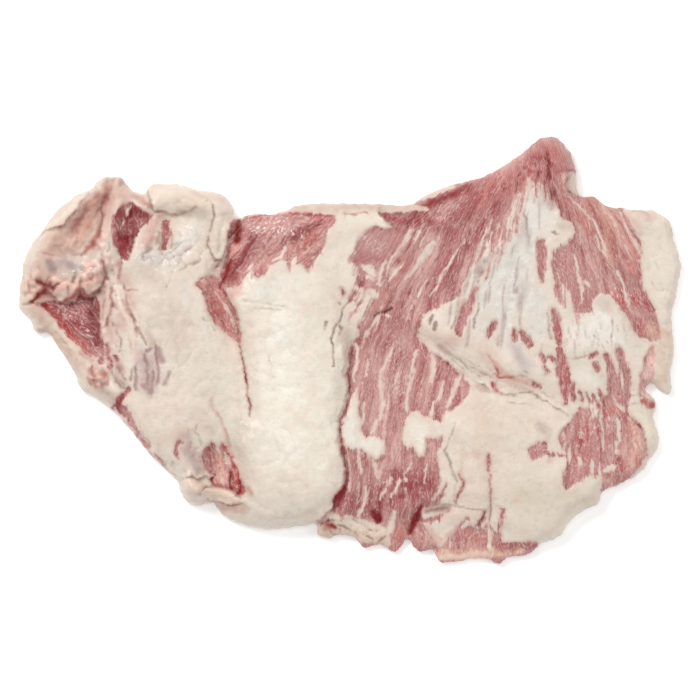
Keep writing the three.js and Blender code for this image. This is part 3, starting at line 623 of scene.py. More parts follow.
# Tints of the lean: colour, strength, strokes
LEAN_TINTS = {
    "peak": ((200, 112, 110), 0.95, [[(470, 205, 24), (520, 178, 26), (548, 158, 30)]]),
    "peak block": ((168, 62, 68), 0.8, [[(532, 157, 6), (543, 158, 6)], [(546, 150, 4), (549, 164, 5)]]),
    "peak side": ((242, 208, 196), 0.9, [[(563, 178, 5), (567, 190, 7)]]),
    "peak rim": ((214, 172, 158), 0.85, [
        [
            (430, 197, 7), (465, 181, 8), (500, 167, 8), (520, 154, 8), (540, 140, 9), (556, 137, 10),
            (568, 150, 9), (574, 165, 7),
        ],
    ]),
    "peak left": ((190, 118, 114), 0.6, [[(470, 192, 7), (505, 174, 7)]]),
    "upper fan": ((164, 88, 88), 0.85, [[(500, 190, 16), (488, 222, 18), (470, 248, 14)]]),
    "upper pale": ((216, 156, 150), 0.8, [[(498, 189, 7), (502, 198, 8)]]),
    "upper left": ((165, 88, 88), 0.85, [
        [(480, 210, 16), (452, 224, 22), (456, 250, 18), (440, 285, 18)],
    ]),
    "fan border": ((200, 146, 138), 0.7, [[(518, 190, 10), (508, 222, 12), (494, 240, 10)]]),
    "marbled red": ((150, 36, 44), 0.95, [[(384, 217, 11), (404, 220, 20), (430, 221, 18)]]),
    "mosaic": ((190, 110, 108), 0.8, [[(438, 218, 12), (456, 210, 12)]]),
    "left triangle": ((158, 82, 84), 0.95, [[(60, 312, 24), (92, 330, 26)]]),
    "triangle edge": ((186, 86, 84), 0.9, [[(47, 308, 6), (62, 324, 8), (78, 341, 6), (90, 352, 5)]]),
    "triangle dark": ((128, 60, 62), 0.85, [
        [(80, 298, 6), (92, 301, 7), (97, 310, 6)], [(92, 312, 7), (96, 345, 6)],
    ]),
    "triangle head": ((168, 106, 110), 0.8, [[(50, 298, 6), (60, 304, 6)]]),
    "dark patch": ((126, 8, 24), 1.0, [[(132, 215, 26), (126, 250, 22)]]),
    "dark patch corner": ((120, 22, 32), 0.9, [
        [(136, 211, 8), (148, 217, 6)], [(120, 208, 5), (119, 224, 5)],
    ]),
    "dark patch side": ((112, 58, 58), 0.9, [[(150, 220, 3), (141, 232, 4), (136, 247, 4)]]),
    "dark patch left": ((206, 138, 133), 0.8, [[(117, 230, 4), (119, 244, 5)]]),
    "dark patch foot": ((160, 52, 60), 0.8, [[(125, 244, 8), (125, 256, 7)]]),
    "under the roll": ((178, 100, 98), 0.9, [[(166, 222, 8), (166, 246, 8)]]),
    "low left": ((146, 50, 50), 0.95, [[(124, 400, 16), (118, 408, 12)]]),
    "low left edge": ((206, 136, 130), 0.9, [[(130, 418, 10), (150, 450, 10)]]),
    "tan fan": ((208, 152, 136), 0.9, [[(596, 204, 20), (612, 224, 24), (608, 254, 20)]]),
    "fan left side": ((196, 128, 118), 0.8, [[(560, 205, 8), (580, 216, 10), (592, 236, 8)]]),
    "fan right side": ((236, 168, 156), 0.85, [[(628, 240, 8), (634, 254, 9), (632, 270, 8)]]),
    "fan right middle": ((255, 206, 192), 0.9, [[(626, 262, 7), (632, 272, 7)]]),
    "fan right foot": ((236, 190, 180), 0.85, [[(630, 310, 5), (638, 316, 6)]]),
    "fan lattice": ((164, 98, 96), 0.8, [[(572, 242, 8), (582, 250, 8)], [(553, 256, 3), (556, 270, 3)]]),
    "fan red": ((197, 81, 85), 0.85, [[(616, 296, 12), (624, 306, 8)], [(634, 298, 10), (646, 304, 8)]]),
    "fan streak": ((200, 146, 145), 0.8, [[(475, 290, 6), (465, 316, 8), (459, 333, 6)]]),
    "fan foot": ((190, 124, 120), 0.8, [[(576, 300, 10), (588, 304, 10)]]),
    "pale belt top": ((196, 148, 144), 0.8, [[(370, 242, 18), (384, 256, 18)]]),
    "purple belt": ((176, 104, 108), 0.8, [
        [(360, 260, 10), (380, 258, 8)], [(360, 282, 6), (361, 284, 6)],
    ]),
    "smooth belt": ((206, 148, 138), 0.8, [
        [(396, 236, 12), (404, 240, 12)], [(404, 262, 10), (390, 284, 10)],
    ]),
    "crack fold": ((208, 152, 138), 0.9, [[(386, 294, 8), (382, 308, 7)]]),
    "belt right": ((190, 120, 116), 0.7, [[(450, 255, 10), (440, 275, 10), (434, 300, 10)]]),
    "belt foot": ((156, 70, 74), 0.9, [[(352, 505, 22), (384, 498, 28), (424, 486, 32)]]),
    "belt corner": ((180, 102, 100), 0.8, [[(442, 372, 14), (456, 400, 12)]]),
    "wedge right": ((208, 141, 133), 0.9, [[(320, 222, 16), (300, 245, 20)]]),
    "wedge left": ((206, 134, 130), 0.9, [[(246, 240, 12), (232, 276, 14)]]),
    "wedge lilac": ((204, 148, 146), 0.8, [[(244, 226, 7), (246, 244, 7)]]),
    "wedge middle": ((216, 168, 162), 0.9, [[(258, 230, 14), (288, 226, 15)]]),
    "wedge low": ((202, 142, 132), 0.8, [[(276, 248, 8), (262, 268, 8)]]),
    "wedge top": ((184, 92, 92), 0.8, [[(254, 217, 6), (274, 217, 6)], [(280, 213, 4), (332, 215, 4)]]),
    "strip": ((200, 136, 128), 0.9, [[(208, 283, 14), (226, 312, 16), (238, 332, 8)]]),
    "strip side": ((180, 106, 104), 0.6, [
        [(209, 296, 5), (216, 314, 5)], [(232, 308, 4), (238, 326, 4)],
    ]),
    "wedge band": ((130, 38, 46), 0.9, [
        [(254, 238, 7), (248, 252, 10), (240, 264, 11), (232, 277, 9)],
        [(322, 221, 6), (304, 232, 9), (284, 243, 7)],
    ]),
    "wedge side": ((222, 150, 142), 0.85, [[(236, 242, 4), (233, 254, 5), (231, 264, 5)]]),
    "wedge ridge": ((226, 176, 168), 0.85, [[(244, 229, 6), (241, 245, 7), (237, 258, 6)]]),
    "belt low": ((218, 176, 168), 0.7, [[(388, 398, 24), (388, 412, 26), (392, 440, 22)]]),
    "lower right cream": ((224, 192, 172), 0.85, [[(614, 447, 7), (622, 452, 7)]]),
    "tabs": ((224, 154, 140), 0.9, [[(398, 535, 14), (398, 545, 12)]]),
    "bottom pink": ((204, 144, 138), 0.9, [[(460, 536, 14), (482, 542, 16)]]),
    "pale layer": ((226, 190, 174), 0.9, [[(424, 538, 10), (446, 542, 12)]]),
    "tab foot": ((255, 226, 198), 0.95, [[(440, 554, 10), (484, 555, 9), (520, 552, 6)]]),
    "tab end": ((186, 116, 110), 0.8, [[(502, 546, 10), (532, 545, 8)]]),
    "right low": ((228, 188, 172), 0.95, [[(650, 330, 12), (660, 334, 12)]]),
    "right patch": ((188, 106, 104), 0.9, [[(640, 326, 10), (642, 333, 10)]]),
    "tongue": ((238, 208, 194), 1.0, [[(654, 346, 12), (648, 372, 14), (642, 396, 12)]]),
    "notch": ((190, 84, 76), 0.95, [[(645, 402, 8), (653, 405, 8)]]),
    "foot patch": ((236, 190, 176), 0.9, [[(218, 458, 9), (221, 478, 11)]]),
    "foot patch left": ((180, 130, 130), 0.9, [[(204, 452, 10), (211, 468, 9)]]),
    "foot patch right": ((192, 92, 86), 0.95, [
        [(225, 447, 6), (231, 455, 8), (237, 472, 10), (240, 488, 11)],
    ]),
    "lower right red": ((204, 114, 110), 0.7, [
        [(585, 425, 14), (580, 460, 16)], [(606, 412, 10), (616, 408, 8)],
    ]),
    "lower right middle": ((178, 84, 82), 0.75, [[(600, 430, 8), (602, 449, 8)]]),
    "lower right blotch": ((178, 76, 78), 0.9, [[(618, 462, 9), (621, 468, 9)]]),
    "lower right tan": ((232, 190, 174), 0.9, [
        [(630, 416, 7), (634, 432, 11), (634, 448, 13), (636, 466, 10)], [(604, 480, 7), (610, 482, 7)],
    ]),
    "long streak": ((186, 110, 106), 0.9, [[(555, 320, 8), (566, 390, 12)]]),
    "streak spots": ((172, 114, 114), 0.8, [
        [(491, 324, 8), (490, 335, 8)], [(516, 332, 8), (530, 346, 8)], [(542, 358, 6), (552, 360, 6)],
    ]),
    "fragments": ((180, 132, 128), 0.85, [[(576, 390, 5), (590, 400, 7), (602, 398, 5)]]),
    "stain": (BLOOD, 0.9, [[(321, 523, 5), (331, 526, 5)]]),
    "strip head": ((226, 184, 174), 0.8, [
        [(203, 281, 7), (217, 280, 7)], [(226, 300, 4), (234, 318, 4)],
    ]),
    "slope red": ((164, 62, 68), 0.9, [[(424, 207, 9), (445, 197, 11), (468, 188, 9)]]),
    "blotch side": ((218, 182, 174), 0.8, [[(436, 240, 10), (424, 256, 14), (406, 280, 10)]]),
    "recess": ((136, 24, 30), 1.0, [
        [(419, 510, 6), (416, 518, 10), (411, 530, 8)], [(375, 513, 6), (378, 519, 7)],
        [(342, 488, 8), (337, 504, 9)],
    ]),
    "top red": ((150, 44, 52), 0.8, [
        [(400, 218, 8), (412, 220, 9)], [(430, 205, 6), (452, 194, 7)], [(547, 162, 5), (552, 196, 6)],
    ]),
    "belt mid": ((206, 162, 155), 0.8, [[(424, 282, 18), (416, 300, 18)]]),
    "belt crimson": ((184, 128, 122), 0.8, [[(396, 322, 20), (394, 340, 20)]]),
    "belt foot middle": ((150, 62, 66), 0.8, [[(396, 474, 14), (404, 486, 14)]]),
}

# Creases: depth in millimetres, colour laid along them and its share, strokes. The browns and greys are
# painted shade in the folds and cracks; the reds are mostly the meat's own red, with painted shade in the
# deepest
CREASES = {
    "flap lip": (0.4, BROWN_SHADE, 0.5, [[(48, 230, 2), (56, 231, 2.6), (65, 228, 2), (71, 219, 1.6)]]),
    "flap lines": (0.5, BROWN_SHADE, 0.5, [
        [(69, 233, 2.4), (66, 242, 2.6), (62, 248, 2)], [(56, 247, 1.4), (62, 247, 1.6)],
        [(40, 253, 1.4), (50, 255, 1.8), (62, 256, 1.6)], [(74, 255, 1.6), (80, 254, 2), (86, 256, 2)],
        [(78, 250, 1.6), (83, 246, 1.6)], [(100, 210, 1.4), (98, 224, 1.4)],
        [(107, 204, 1.6), (106, 216, 1.4)], [(84, 203, 1.4), (80, 214, 1.4)],
    ]),
    "flap crevice": (0.4, (150, 98, 88), 0.7, [
        [(114, 180, 3), (113, 188, 3.4), (110, 198, 3)],
        [(106, 200, 3), (103, 212, 3), (104, 228, 3.4), (100, 238, 3), (93, 246, 3), (85, 255, 2.6)],
    ]),
    "flap red": (0.1, (174, 92, 88), 0.7, [
        [(101, 236, 6), (95, 243, 8), (89, 251, 6)], [(106, 192, 6), (109, 203, 5)],
    ]),
    "flap grey": (0.3, GREY_SHADE, 0.8, [
        [(115, 230, 1.6), (113, 240, 1.8), (112, 250, 2.4)], [(112, 249, 2), (110, 252, 2)],
    ]),
    "seam": (0.4, (114, 0, 4), 1.0, [[(238, 220, 6), (237, 230, 11), (236, 240, 7)]]),
    "knot": (0.4, (140, 24, 32), 1.0, [[(232, 262, 3.4), (227, 270, 5), (223, 281, 5), (221, 288, 3)]]),
    "seam neck": (0.5, (150, 96, 90), 0.9, [[(232, 243, 2.4), (230, 252, 2.4), (228, 261, 2.4)]]),
    "wedge folds": (0.5, (150, 62, 64), 0.6, [
        [(251, 232, 3), (248, 248, 4), (241, 262, 4)], [(322, 221, 3), (302, 234, 4)],
    ]),
    "wedge lines": (0.2, RED, 0.7, [
        [(272, 214, 1.4), (290, 212, 1.6), (335, 215, 1.8)], [(336, 214, 1.6), (334, 222, 1.6)],
    ]),
    "strip lines": (0.4, DARK_RED, 0.7, [
        [(223, 292, 1.6), (232, 305, 1.8), (238, 320, 1.8)], [(205, 292, 1.6), (216, 314, 1.6)],
    ]),
    "slab seam": (0.6, (128, 60, 54), 0.9, [
        [(237, 330, 2), (240, 346, 1.6)], [(241, 352, 1.8), (244, 368, 2)],
        [(245, 372, 1.6), (247, 384, 2)], [(249, 398, 1.4), (250, 415, 1.6)],
    ]),
    "slab vein": (0.3, (190, 138, 126), 0.7, [
        [(211, 400, 1.4), (219, 415, 1.8), (226, 433, 1.8), (230, 448, 1.6)],
    ]),
    "column crack": (0.5, (128, 92, 80), 0.95, [
        [
            (350, 301, 1.6), (345, 306, 2), (342, 314, 1.8), (338, 324, 1.8), (334, 330, 1.6),
            (331, 340, 1.8), (333, 352, 1.6), (333, 366, 1.4),
        ],
        [(326, 322, 2.2), (326, 329, 2.6)], [(340, 326, 2.4), (341, 329, 2.4)],
    ]),
    "belt crack": (0.9, (110, 24, 28), 1.0, [
        [(392, 307, 2.4), (384, 312, 3.4), (381, 313, 2.4)], [(379, 313, 2), (374, 316, 2.4)],
    ]),
    "belt lines": (0.3, DARK_RED, 0.7, [
        [(388, 274, 1.4), (387, 292, 1.6)], [(412, 244, 1.4), (398, 262, 1.8), (386, 278, 1.4)],
        [(450, 268, 1.4), (438, 288, 1.8)], [(392, 290, 1.8), (392, 303, 1.8)],
        [(370, 265, 1.4), (376, 269, 1.6), (378, 277, 1.6)], [(445, 246, 2), (436, 262, 2)],
    ]),
    "marbled lines": (0.4, (108, 52, 48), 0.8, [
        [(378, 213, 2), (400, 213, 2.2), (425, 213, 2)],
        [(379, 214, 1.8), (387, 223, 1.8), (398, 230, 1.8)],
    ]),
    "top strip line": (0.3, RED, 0.8, [[(343, 214, 1.2), (356, 214, 1.8), (368, 214, 1.2)]]),
    "peak folds": (0.9, BLOOD, 0.85, [
        [(546, 152, 2), (547, 166, 3), (550, 178, 3)], [(547, 178, 3.4), (545, 186, 2.6)],
        [(537, 175, 4), (537, 178, 4)], [(535, 181, 2.4), (531, 188, 2)], [(520, 173, 2), (525, 170, 2)],
    ]),
    "peak lines": (0.5, (140, 60, 60), 0.8, [
        [(530, 155, 2), (532, 163, 2), (535, 167, 1.6)], [(549, 182, 2.6), (552, 199, 3)],
        [(527, 173, 1.6), (541, 173, 1.6)], [(520, 173, 2), (518, 182, 2.2), (515, 194, 1.6)],
        [(555, 173, 1.8), (571, 170, 1.8)], [(553, 192, 3), (564, 217, 4)],
        [(430, 207, 4), (452, 194, 5), (470, 186, 4)], [(453, 196, 3), (454, 203, 2.4)],
    ]),
    "peak tab": (0.5, DARK_BROWN_SHADE, 0.8, [
        [(572, 173, 1.6), (567, 179, 1.6)],
        [(565, 180, 1.4), (563, 186, 1.4), (567, 192, 1.4), (574, 197, 1.4)],
    ]),
    "fan lines": (0.3, (158, 142, 130), 0.8, [
        [(530, 181, 1.6), (527, 200, 1.8), (524, 215, 1.8), (526, 232, 1.6), (529, 246, 1.6)],
        [(552, 208, 2), (550, 211, 2)], [(513, 246, 1.4), (511, 258, 1.4)],
        [(536, 196, 1.4), (533, 205, 1.2)], [(610, 320, 1.4), (610, 346, 1.4)],
    ]),
    "streak edge": (0.3, DARK_RED, 0.7, [
        [(557, 314, 1.6), (560, 328, 1.8)], [(568, 366, 1.8), (570, 388, 1.8)],
        [(556, 366, 1.6), (560, 384, 1.6)],
    ]),
    "tendon folds": (0.5, (170, 138, 124), 0.65, [
        [(487, 355, 1.6), (492, 362, 1.8), (496, 371, 1.8)],
        [(472, 368, 1.6), (482, 373, 1.8), (491, 376, 1.6)],
        [(512, 378, 1.6), (520, 374, 1.8), (532, 381, 1.6)],
        [(478, 383, 1.6), (484, 387, 2), (491, 390, 1.6)], [(438, 352, 2), (441, 364, 2)],
        [(524, 384, 1.4), (532, 387, 1.6)], [(480, 390, 1.6), (481, 393, 1.6)],
    ]),
    "tendon wrinkles": (0.5, (186, 168, 154), 0.6, [
        [(452, 360, 1.6), (464, 371, 2), (476, 381, 1.6)],
        [(456, 358, 1.4), (468, 369, 1.6), (478, 377, 1.4)], [(462, 356, 1.2), (478, 366, 1.4)],
        [(530, 393, 1.4), (546, 402, 1.6), (562, 413, 1.6), (576, 421, 1.4)],
        [(536, 390, 1.4), (555, 400, 1.6), (566, 406, 1.4)],
        [(500, 394, 1.6), (512, 396, 1.8), (534, 391, 1.6)], [(505, 402, 1.2), (528, 404, 1.4)],
        [(540, 344, 1.4), (541, 354, 1.4)],
    ]),
    "tendon red": (0.4, (176, 66, 64), 0.85, [
        [(488, 357, 1.2), (494, 366, 1.6), (497, 372, 2)], [(493, 373, 2), (499, 377, 3), (512, 377, 2)],
        [(492, 382, 2.6), (495, 391, 2.6), (501, 393, 1.6)],
    ]),
    "middle right crack": (0.4, BROWN_SHADE, 0.7, [
        [(564, 358, 1.4), (576, 357, 1.6), (590, 356, 1.4)], [(628, 396, 1.4), (641, 397, 1.4)],
        [(631, 404, 1.4), (641, 403, 1.4)],
    ]),
    "right border": (0.4, (136, 70, 66), 0.8, [[(636, 424, 2), (643, 431, 2.2), (646, 450, 2)]]),
    "right line": (0.3, GREY_SHADE, 0.5, [
        [(632, 211, 1.8), (648, 214, 1.8)], [(672, 224, 1.6), (674, 238, 1.6)],
        [(645, 227, 1.6), (649, 230, 1.6)],
    ]),
    "lower slit": (0.8, (104, 52, 48), 0.85, [
        [(489, 475, 2.2), (490, 495, 1.8), (491, 510, 1.6), (488, 522, 1.4)],
        [(489, 477, 2.6), (489, 482, 2.6)], [(484, 512, 2), (478, 524, 1.8)],
    ]),
    "lower slab line": (0.5, (172, 152, 138), 0.6, [
        [
            (455, 422, 1.6), (449, 438, 1.8), (446, 450, 1.6), (451, 463, 1.6), (456, 478, 1.6),
            (454, 496, 1.4),
        ],
        [(437, 498, 1.6), (444, 485, 1.4)],
    ]),
    "recesses": (0.4, (128, 12, 20), 1.0, [
        [(421, 507, 4), (417, 516, 7), (413, 526, 6), (410, 532, 4)],
        [(373, 512, 5), (375, 516, 8), (379, 520, 5)], [(214, 474, 2.4), (213, 485, 3)],
        [(230, 472, 2.4), (229, 487, 3.4), (233, 489, 2.4)],
        [(241, 480, 2.6), (240, 490, 3.4), (237, 495, 2.4)],
    ]),
    "stain": (0.2, (146, 20, 20), 1.0, [[(320, 521, 4), (328, 523, 9), (335, 527, 4)]]),
    "torn red": (0.5, (142, 40, 40), 1.0, [
        [(37, 280, 3), (42, 282, 6), (46, 285, 4), (51, 286, 8), (55, 289, 5)],
        [(47, 289, 7), (43, 292, 4), (40, 295, 6), (36, 299, 3), (31, 303, 4)],
        [(40, 304, 5), (46, 305, 6)],
    ]),
    "clump shadow": (0.6, (120, 52, 48), 0.95, [
        [(62, 303, 3), (71, 302, 5), (77, 297, 6), (82, 291, 5)],
        [(83, 292, 4), (86, 298, 5), (94, 297, 5), (99, 291, 4)],
    ]),
    "bottom cracks": (0.5, (150, 108, 94), 0.95, [
        [(338, 523, 1.6), (347, 528, 2), (356, 531, 1.6)],
        [(352, 519, 1.4), (362, 524, 2), (372, 530, 1.8)], [(366, 536, 1.8), (374, 541, 1.6)],
        [(330, 531, 1.4), (336, 536, 1.6)],
    ]),
    "corner flecks": (0.2, (142, 114, 106), 1.0, [
        [(432, 316, 2.6), (430, 322, 3)], [(437, 322, 2.4), (434, 329, 2.8)],
    ]),
    "clump red": (0.2, (172, 60, 58), 1.0, [
        [(61, 304, 2.4), (70, 299, 3), (80, 291, 4)], [(80, 291, 3), (86, 296, 4), (92, 297, 3)],
    ]),
    "clump lines": (0.5, (128, 66, 58), 0.9, [
        [(84, 267, 3), (87, 271, 4)], [(79, 274, 3), (74, 282, 3)], [(83, 279, 3), (81, 286, 3)],
        [(22, 304, 2), (38, 305, 2.4)], [(94, 268, 2.4), (96, 276, 2.4)],
        [(68, 288, 2.4), (70, 294, 2.4)], [(60, 285, 2.4), (55, 289, 2.4)],
        [(31, 281, 2.4), (31, 293, 2.4)],
    ]),
    "clump crevice": (0.3, (146, 98, 88), 0.6, [
        [(104, 264, 4), (107, 273, 7), (103, 282, 9), (99, 292, 9)],
    ]),
    "rim shadow": (0.3, (176, 146, 128), 0.8, [
        [(38, 330, 2.4), (52, 334, 2.4)], [(56, 330, 2), (72, 350, 2)],
    ]),
    "ridge lines": (0.5, (186, 142, 130), 0.6, [
        [(113, 287, 2), (113, 305, 2.4), (108, 326, 2)], [(124, 262, 1.8), (120, 281, 2)],
        [(124, 300, 2), (130, 310, 2.4)], [(135, 322, 2), (141, 335, 2.4)],
        [(102, 335, 2), (104, 362, 2)], [(118, 330, 2), (122, 346, 2)],
    ]),
    "lump lines": (0.5, (160, 112, 104), 0.8, [
        [(112, 362, 1.6), (113, 375, 1.8), (122, 386, 1.8), (130, 389, 1.6)],
        [(118, 368, 1.6), (127, 379, 1.8)], [(92, 366, 2), (94, 372, 2)],
        [(104, 368, 2), (107, 374, 1.8)], [(94, 381, 2), (98, 386, 2)], [(104, 381, 2), (108, 380, 2)],
    ]),
    "slab wrinkles": (0.5, (168, 152, 138), 0.6, [
        [(181, 271, 2), (190, 266, 2.6), (201, 260, 2.2)],
        [(168, 288, 1.8), (174, 276, 2.2), (176, 271, 2)],
        [(170, 247, 2), (180, 244, 2.4), (188, 240, 2)], [(148, 258, 2), (152, 250, 2)],
        [(155, 252, 2), (163, 247, 2)], [(205, 319, 1.8), (211, 321, 2.2), (216, 329, 2)],
    ]),
    "centre wrinkles": (0.3, (196, 182, 166), 0.6, [
        [(232, 300, 2), (262, 303, 2.4), (300, 312, 2)], [(256, 309, 2), (280, 311, 2)],
    ]),
    "roll lines": (0.4, (160, 112, 100), 0.7, [
        [(156, 213, 1.6), (162, 211, 2), (168, 212, 1.6)], [(177, 212, 1.8), (187, 211, 1.8)],
        [(171, 218, 1.4), (176, 215, 1.6)], [(169, 220, 1.6), (171, 238, 1.6)],
        [(160, 250, 1.4), (169, 248, 1.6)],
    ]),
    "roll shadow": (0.4, (156, 136, 120), 0.85, [
        [(147, 190, 2.4), (150, 201, 3), (154, 208, 2)], [(206, 201, 1.6), (204, 204, 1.4)],
    ]),
    "lobe lines": (0.4, (150, 122, 106), 0.7, [
        [(214, 205, 1.4), (215, 216, 1.6), (211, 231, 1.8)],
        [(210, 238, 1.6), (209, 247, 2), (213, 256, 1.8)], [(215, 260, 2), (223, 260, 2)],
        [(219, 264, 1.4), (215, 269, 1.6)],
    ]),
    "foot lines": (0.3, (164, 122, 106), 0.6, [
        [(191, 472, 1.6), (199, 478, 2), (205, 475, 1.6)], [(208, 487, 1.6), (200, 493, 1.8)],
        [(193, 431, 1.4), (200, 436, 1.4)], [(172, 463, 2.4), (173, 465, 2.4)],
    ]),
    "lower edge": (0.3, (150, 106, 98), 0.7, [
        [(117, 413, 2), (128, 428, 2.4), (150, 452, 2), (176, 475, 2)],
        [(140, 428, 1.4), (152, 446, 1.4)],
    ]),
    "slab side": (0.3, (150, 16, 28), 0.95, [
        [
            (341, 428, 2), (343, 440, 3.4), (347, 456, 4), (349, 468, 4.4), (347, 482, 5), (340, 494, 7),
            (336, 506, 5),
        ],
    ]),
    "slab side line": (0.5, (150, 112, 100), 0.8, [
        [(347, 392, 1.6), (344, 404, 1.8), (340, 416, 2), (339, 428, 1.8)],
    ]),
    "strip dark": (0.3, (138, 62, 60), 0.85, [
        [(351, 346, 2), (351, 360, 2), (350, 378, 2), (349, 392, 1.6)],
    ]),
    "bottom lines": (0.5, (150, 100, 88), 0.8, [
        [(357, 538, 1.6), (364, 533, 1.6)], [(378, 544, 1.6), (385, 536, 1.6)],
        [(318, 520, 2), (334, 520, 1.6)],
    ]),
    "strand lines": (0.6, (168, 118, 106), 0.9, [
        [(124, 283, 2.4), (128, 298, 3), (132, 312, 3), (139, 327, 3), (148, 344, 2.4)],
        [(113, 286, 2.4), (112, 304, 3), (110, 316, 2.6), (106, 328, 2.4)],
        [(128, 310, 2), (136, 322, 2.6), (139, 336, 2.2)],
        [(124, 258, 2.4), (121, 276, 3), (119, 284, 2)], [(125, 292, 1.8), (140, 291, 2)],
        [(104, 300, 2), (103, 318, 2.4)],
    ]),
    "belt dark": (0.3, (146, 58, 60), 0.8, [
        [(470, 225, 2), (467, 250, 2.6), (458, 275, 2)], [(438, 269, 2), (426, 287, 2.4)],
        [(458, 266, 2), (447, 287, 2.4)], [(402, 252, 2), (390, 276, 2.4)],
        [(412, 286, 2), (402, 306, 2)],
    ]),
}

# Ridges: rise in millimetres, strokes
RIDGES = {
    "left ridges": (0.9, [
        [(108, 283, 4), (109, 300, 4), (105, 328, 4), (103, 342, 3)],
        [(116, 287, 3), (121, 305, 3.5), (129, 322, 3.5), (136, 348, 3)],
        [(126, 292, 3), (133, 306, 3.5), (142, 330, 3)],
    ]),
    "hollow fold": (0.9, [[(97, 202, 5), (92, 218, 7), (84, 240, 6)], [(76, 236, 5), (72, 248, 5)]]),
    "patch ridge": (0.8, [[(163, 213, 4), (154, 228, 5), (146, 246, 5)]]),
    "slab foot ridge": (0.8, [[(250, 505, 6), (265, 513, 6), (285, 518, 6), (310, 516, 6)]]),
    "fan lip": (0.5, [[(440, 345, 6), (470, 362, 7), (505, 384, 7), (540, 388, 6)]]),
    "lip lobe": (1.2, [[(188, 484, 9), (197, 488, 9)], [(212, 492, 6), (226, 494, 7), (238, 499, 5)]]),
    "crack fold": (0.9, [[(389, 290, 5), (387, 302, 6), (380, 309, 4)]]),
    "clump tops": (1.0, [
        [(55, 286, 11), (65, 291, 12)], [(90, 270, 12), (93, 284, 12)], [(30, 284, 9), (33, 293, 9)],
    ]),
    "lump": (1.0, [
        [(99, 374, 6), (102, 378, 6)], [(37, 274, 7), (39, 276, 7)], [(42, 293, 4), (42, 298, 4)],
    ]),
    "knobs": (1.0, KNOBS),
}

# Scarps, where one layer lies over another: rise in millimetres of the side to the left of the path, colour
# of the painted shade along the foot (dark red where the crevice also holds blood) and its share, and the
# path.
# The high side falls back to nothing over the half width.
SCARPS = {
    "flap lip": (1.5, BROWN_SHADE, 0.4, [
        (40, 236, 10), (48, 230, 12), (60, 228, 12), (67, 224, 12), (72, 217, 12), (79, 211, 12),
        (83, 202, 10), (91, 194, 8),
    ]),
    "inner fold": (1.3, BROWN_SHADE, 0.5, [
        (114, 181, 10), (111, 195, 12), (106, 202, 12), (103, 212, 12), (104, 222, 12), (103, 232, 12),
        (98, 240, 10), (91, 248, 8), (85, 255, 6),
    ]),
    "clump side": (1.6, BROWN_SHADE, 0.5, [
        (93, 297, 10), (99, 290, 12), (104, 283, 12), (108, 275, 12), (104, 262, 10),
    ]),
    "clump foot": (1.6, BLOOD, 0.4, [
        (46, 293, 10), (53, 294, 12), (57, 300, 14), (62, 303, 14), (70, 302, 14), (76, 296, 14),
        (81, 289, 12), (92, 297, 10),
    ]),
    "left clump": (1.0, BLOOD, 0.3, [
        (24, 303, 8), (34, 300, 9), (39, 292, 9), (44, 286, 9), (52, 278, 7),
    ]),
    "roll": (1.2, BROWN_SHADE, 0.35, [
        (147, 192, 7), (150, 204, 10), (156, 213, 12), (162, 211, 12), (168, 213, 12), (176, 215, 12),
        (187, 211, 12), (200, 207, 8),
    ]),
    "roll lobe": (1.1, BROWN_SHADE, 0.4, [
        (215, 205, 8), (215, 217, 10), (211, 232, 10), (209, 246, 10), (213, 256, 10), (218, 260, 9),
        (226, 259, 8),
    ]),
    "lobe side": (1.8, RED, 0.4, [
        (217, 266, 8), (224, 256, 9), (228, 246, 10), (229, 232, 10), (232, 220, 8),
    ]),
    "left slab side": (0.8, RED, 0.3, [
        (250, 414, 8), (247, 385, 12), (243, 362, 14), (238, 336, 14), (224, 326, 14), (215, 316, 14),
        (208, 303, 14), (203, 292, 12), (197, 283, 10),
    ]),
    "centre slab left side": (0.8, BLOOD, 0.35, [
        (223, 286, 10), (227, 296, 12), (234, 308, 14), (239, 322, 14), (241, 345, 14), (246, 372, 14),
        (250, 410, 8),
    ]),
    "centre slab right foot": (1.4, BLOOD, 0.6, [
        (318, 521, 10), (331, 510, 14), (334, 498, 16), (344, 480, 16), (346, 468, 16), (344, 458, 16),
        (340, 440, 14),
    ]),
    "centre slab right side": (0.9, BROWN_SHADE, 0.16, [
        (341, 444, 12), (339, 432, 16), (344, 410, 16), (349, 388, 16), (343, 372, 14), (347, 342, 10),
    ]),
    "foot lobe": (1.8, BROWN_SHADE, 0.5, [
        (184, 478, 6), (192, 474, 7), (199, 479, 7), (206, 475, 7), (212, 480, 6),
    ]),
    "foot lip": (2.0, BROWN_SHADE, 0.5, [
        (242, 497, 7), (230, 490, 9), (220, 487, 9), (208, 488, 9), (199, 494, 8),
    ]),
    "under the foot lip": (1.6, BROWN_SHADE, 0.35, [
        (206, 500, 8), (220, 502, 9), (228, 504, 9), (242, 503, 8),
    ]),
    "fan fold": (0.5, GREY_SHADE, 0.2, [
        (428, 350, 10), (450, 365, 12), (480, 385, 12), (505, 395, 12), (530, 392, 12), (560, 410, 12),
        (572, 418, 8),
    ]),
    "slab foot": (0.7, BROWN_SHADE, 0.2, [
        (425, 507, 12), (440, 504, 14), (460, 506, 14), (478, 509, 12), (492, 512, 8),
    ]),
    "slab flank": (0.7, GREY_SHADE, 0.5, [
        (455, 422, 9), (449, 438, 10), (446, 452, 10), (452, 466, 10), (456, 482, 8),
    ]),
    "beside the triangle": (1.4, RED, 0.5, [
        (98, 298, 7), (100, 318, 8), (102, 340, 8), (105, 352, 8), (112, 362, 7),
    ]),
    "peak tab": (1.4, BROWN_SHADE, 0.6, [
        (580, 198, 6), (568, 193, 7), (563, 186, 7), (566, 178, 6), (573, 171, 5),
    ]),
}
# Half width in pixels of the painted shade along each scarp's foot
SCARP_SHADE_HALF = 2.0

